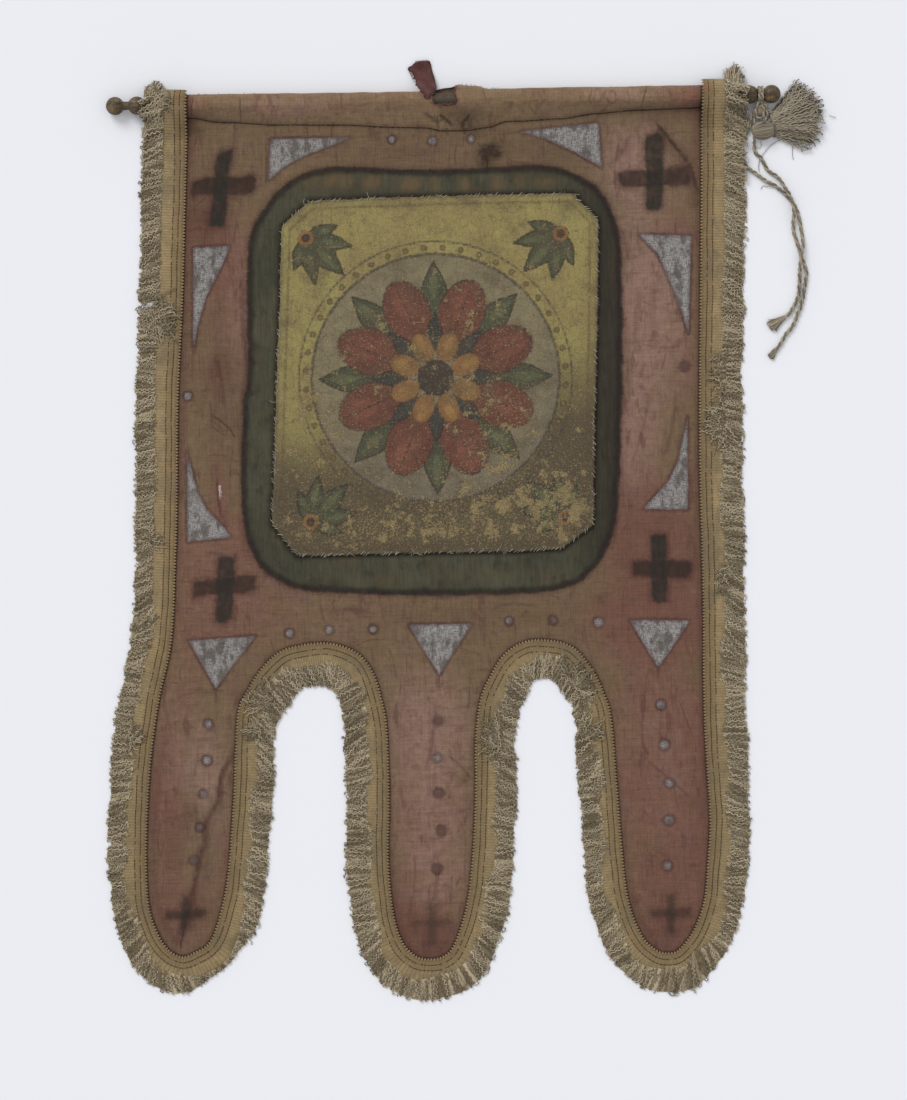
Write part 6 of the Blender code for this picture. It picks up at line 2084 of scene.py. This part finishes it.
def make_tassel(material):
    """Tassel with a bound head of laid yarns and a skirt of wavy ones."""
    rng = np.random.default_rng(77)
    tubes = Tubes(sides=4)
    head = TASSEL_HEAD
    steps = 12
    for k in range(HEAD_YARNS):
        turn = math.tau * k / HEAD_YARNS
        bend = np.linspace(0.06, math.pi * 0.86, steps) + rng.normal(0.0, 0.012, steps)
        x = -0.8 - head[0] * np.cos(bend)
        y = -1.0 + head[1] * np.sin(bend) * math.cos(turn) * rng.uniform(0.95, 1.05)
        z = 7.2 + head[2] * np.sin(bend) * math.sin(turn) * rng.uniform(0.93, 1.03)
        tubes.add(tassel_point(x, y, np.maximum(z, 0.9))[None], 1.05,
                  strand=[rng.uniform(0.4, 0.8)])
    for wrap in (10.4, 11.9):
        turn = np.linspace(0.0, math.tau, 25)
        x = np.full(25, wrap) + 0.5 * np.sin(turn)
        line = tassel_point(x, -0.6 + 7.8 * np.cos(turn), 6.4 + 5.0 * np.sin(turn))
        tubes.add(line[None], 0.55, strand=[0.3])
    amount = SKIRT_YARNS
    steps = 18
    share = rng.uniform(0.0, 1.0, amount)
    level = rng.uniform(0.0, 1.0, amount)
    angles = np.radians(-23.0 + 61.0 * share) + rng.normal(0.0, 0.10, amount)
    roots = np.stack([6.0 + 5.0 * share + rng.uniform(-2.0, 2.0, amount), -6.5 + 22.0 * share],
                     axis=1)
    lengths = (1.0 - 0.34 * np.abs(share - 0.5)) * rng.uniform(52.0, 67.0, amount)
    plan = wavy_lines(rng, roots, angles, lengths, steps, 0.65, 9.0, 0.18, 0.9)
    part = np.linspace(0.0, 1.0, steps)[None, :]
    crown = np.sqrt(np.clip(1.0 - (2.0 * share - 1.0) ** 2, 0.0, 1.0))[:, None]
    low = 1.0 + 2.0 * (1.0 - part) ** 2
    high = 3.0 + crown * (7.6 * (1.0 - part) + 5.4 * part)
    height = low + (high - low) * level[:, None] + rng.normal(0.0, 0.45, plan.shape[:2])
    line = tassel_point(plan[:, :, 0], plan[:, :, 1], np.maximum(height, 0.8))
    # Painted shade: lower yarns of the skirt get lower strand numbers, so darker colour, under the
    # upper ones
    tubes.add(line, np.linspace(0.85, 0.6, steps)[None, :] * rng.uniform(0.85, 1.1, (amount, 1)),
              strand=-0.3 + 1.3 * level * rng.uniform(0.6, 1.15, amount))
    tassel = tubes.piece("yarn_tassel", material, "cord_yarn")
    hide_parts("tassel")


def make_neck_tie(material):
    """The cord round the rod's neck, its knot, the small loop and the strands by the tassel."""
    tubes = Tubes(sides=6)
    turn = np.linspace(0.0, math.tau, 49)
    for shift, phase in ((-1.5, 0.0), (1.6, 1.4)):
        ring = np.stack([np.full(49, NECK_X + shift), ROD_Y + RING_R * np.cos(turn),
                         ROD_Z + RING_R * np.sin(turn)], axis=1)
        tubes.add(twisted_plies(ring, offset=0.85, pitch=9.0, start=phase), 1.05, strand=(0.4, 0.8))
    for k, strand in enumerate(KNOT_STRANDS):
        path = evenly(smooth_curve(strand.route, 8), 1.2)
        plies = twisted_plies(path, offset=0.75, pitch=8.0, start=0.9 * k)
        tubes.add(plies, strand.ply_r, strand=(0.35, 0.8))
    knot = []
    for k in range(KNOT_TURNS):
        tilt = math.pi * k / KNOT_TURNS
        spin = np.linspace(0.0, math.tau, 21)
        x = 348.6 + 4.6 * np.cos(spin) * math.cos(tilt) - 0.5 * np.sin(spin)
        y = 284.0 + 7.8 * np.sin(spin)
        z = 7.2 + 4.4 * np.cos(spin) * math.sin(tilt)
        knot.append(np.stack([x, y, z], axis=1))
    tubes.add(np.array(knot), 1.5, strand=np.linspace(0.2, 0.6, KNOT_TURNS))
    piece = tubes.piece("neck_tie_cord", material, "cord_yarn")
    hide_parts("neck_tie")


def make_strays(material):
    """Stray threads round the tassel and the ties."""
    tubes = Tubes(sides=4)
    for route in STRAYS:
        tubes.add(evenly(smooth_curve(route, 6), 1.5)[None], 0.34, strand=[0.5])
    tubes.piece("stray_threads", material, "cord_yarn")


def make_stage():
    """A plain pale floor with soft studio light from above."""
    g = Graph("pale_floor", roughness=0.9, specular=0.1)
    g.colour(g.brighten(tone(236, 237, 241), g.vary(g.even_noise(0.004, 2.0), 0.006)))
    mesh = bpy.data.meshes.new("floor")
    half = FLOOR_HALF
    level = FLOOR_LEVEL
    mesh.from_pydata([(-half, -half, level), (half, -half, level), (half, half, level),
                      (-half, half, level)], [], [(0, 1, 2, 3)])
    floor = bpy.data.objects.new("floor", mesh)
    mesh.materials.append(g.material)
    bpy.context.scene.collection.objects.link(floor)

    world = bpy.data.worlds.new("soft_room")
    world.use_nodes = True
    background = world.node_tree.nodes["Background"]
    background.inputs["Color"].default_value = (0.97, 0.98, 1.0, 1.0)
    background.inputs["Strength"].default_value = ROOM_LIGHT
    bpy.context.scene.world = world

    for light in LIGHTS:
        data = bpy.data.lights.new(light.name, "SUN")
        data.angle = math.radians(light.angle)
        data.energy = light.power
        lamp = bpy.data.objects.new(light.name, data)
        lamp.location = light.place
        lamp.rotation_euler = (-Vector(light.place)).to_track_quat("-Z", "Y").to_euler()
        bpy.context.scene.collection.objects.link(lamp)
    bpy.context.scene.view_settings.view_transform = "Standard"


def main():
    add_camera()
    cord = yarn_material("grey_cord_yarn", (92, 83, 68), (164, 153, 133))
    for brush in BRUSHES:
        make_brush(brush, cord)
    make_tie("tie_long_cord", "tie_long", TIE_LONG, cord)
    make_tie("tie_short_cord", "tie_short", TIE_SHORT, cord)

    seam_thread = thread_material("dark_sewing_thread", (46, 36, 28))
    red_threads = yarn_material("frayed_red_threads", (84, 52, 48), (124, 84, 74))
    cloth = make_cloth(cloth_material())
    flap = make_flap(flap_material())
    frays = make_cloth_frays(red_threads)
    seam = make_seam_stitches(seam_thread)

    panel, outline = make_panel(panel_material())
    pale, dark = make_panel_stitches(outline, yarn_material("pale_stitch_yarn", (120, 112, 92),
                                                            (186, 180, 162)), seam_thread)

    make_trims(gimp_material(), yarn_material("fringe_yarn", (112, 99, 76), (186, 171, 143), True),
               seam_thread)
    make_rod(wood_material())
    make_neck_tie(cord)
    make_tassel(cord)
    make_strays(cord)
    make_stage()


main()
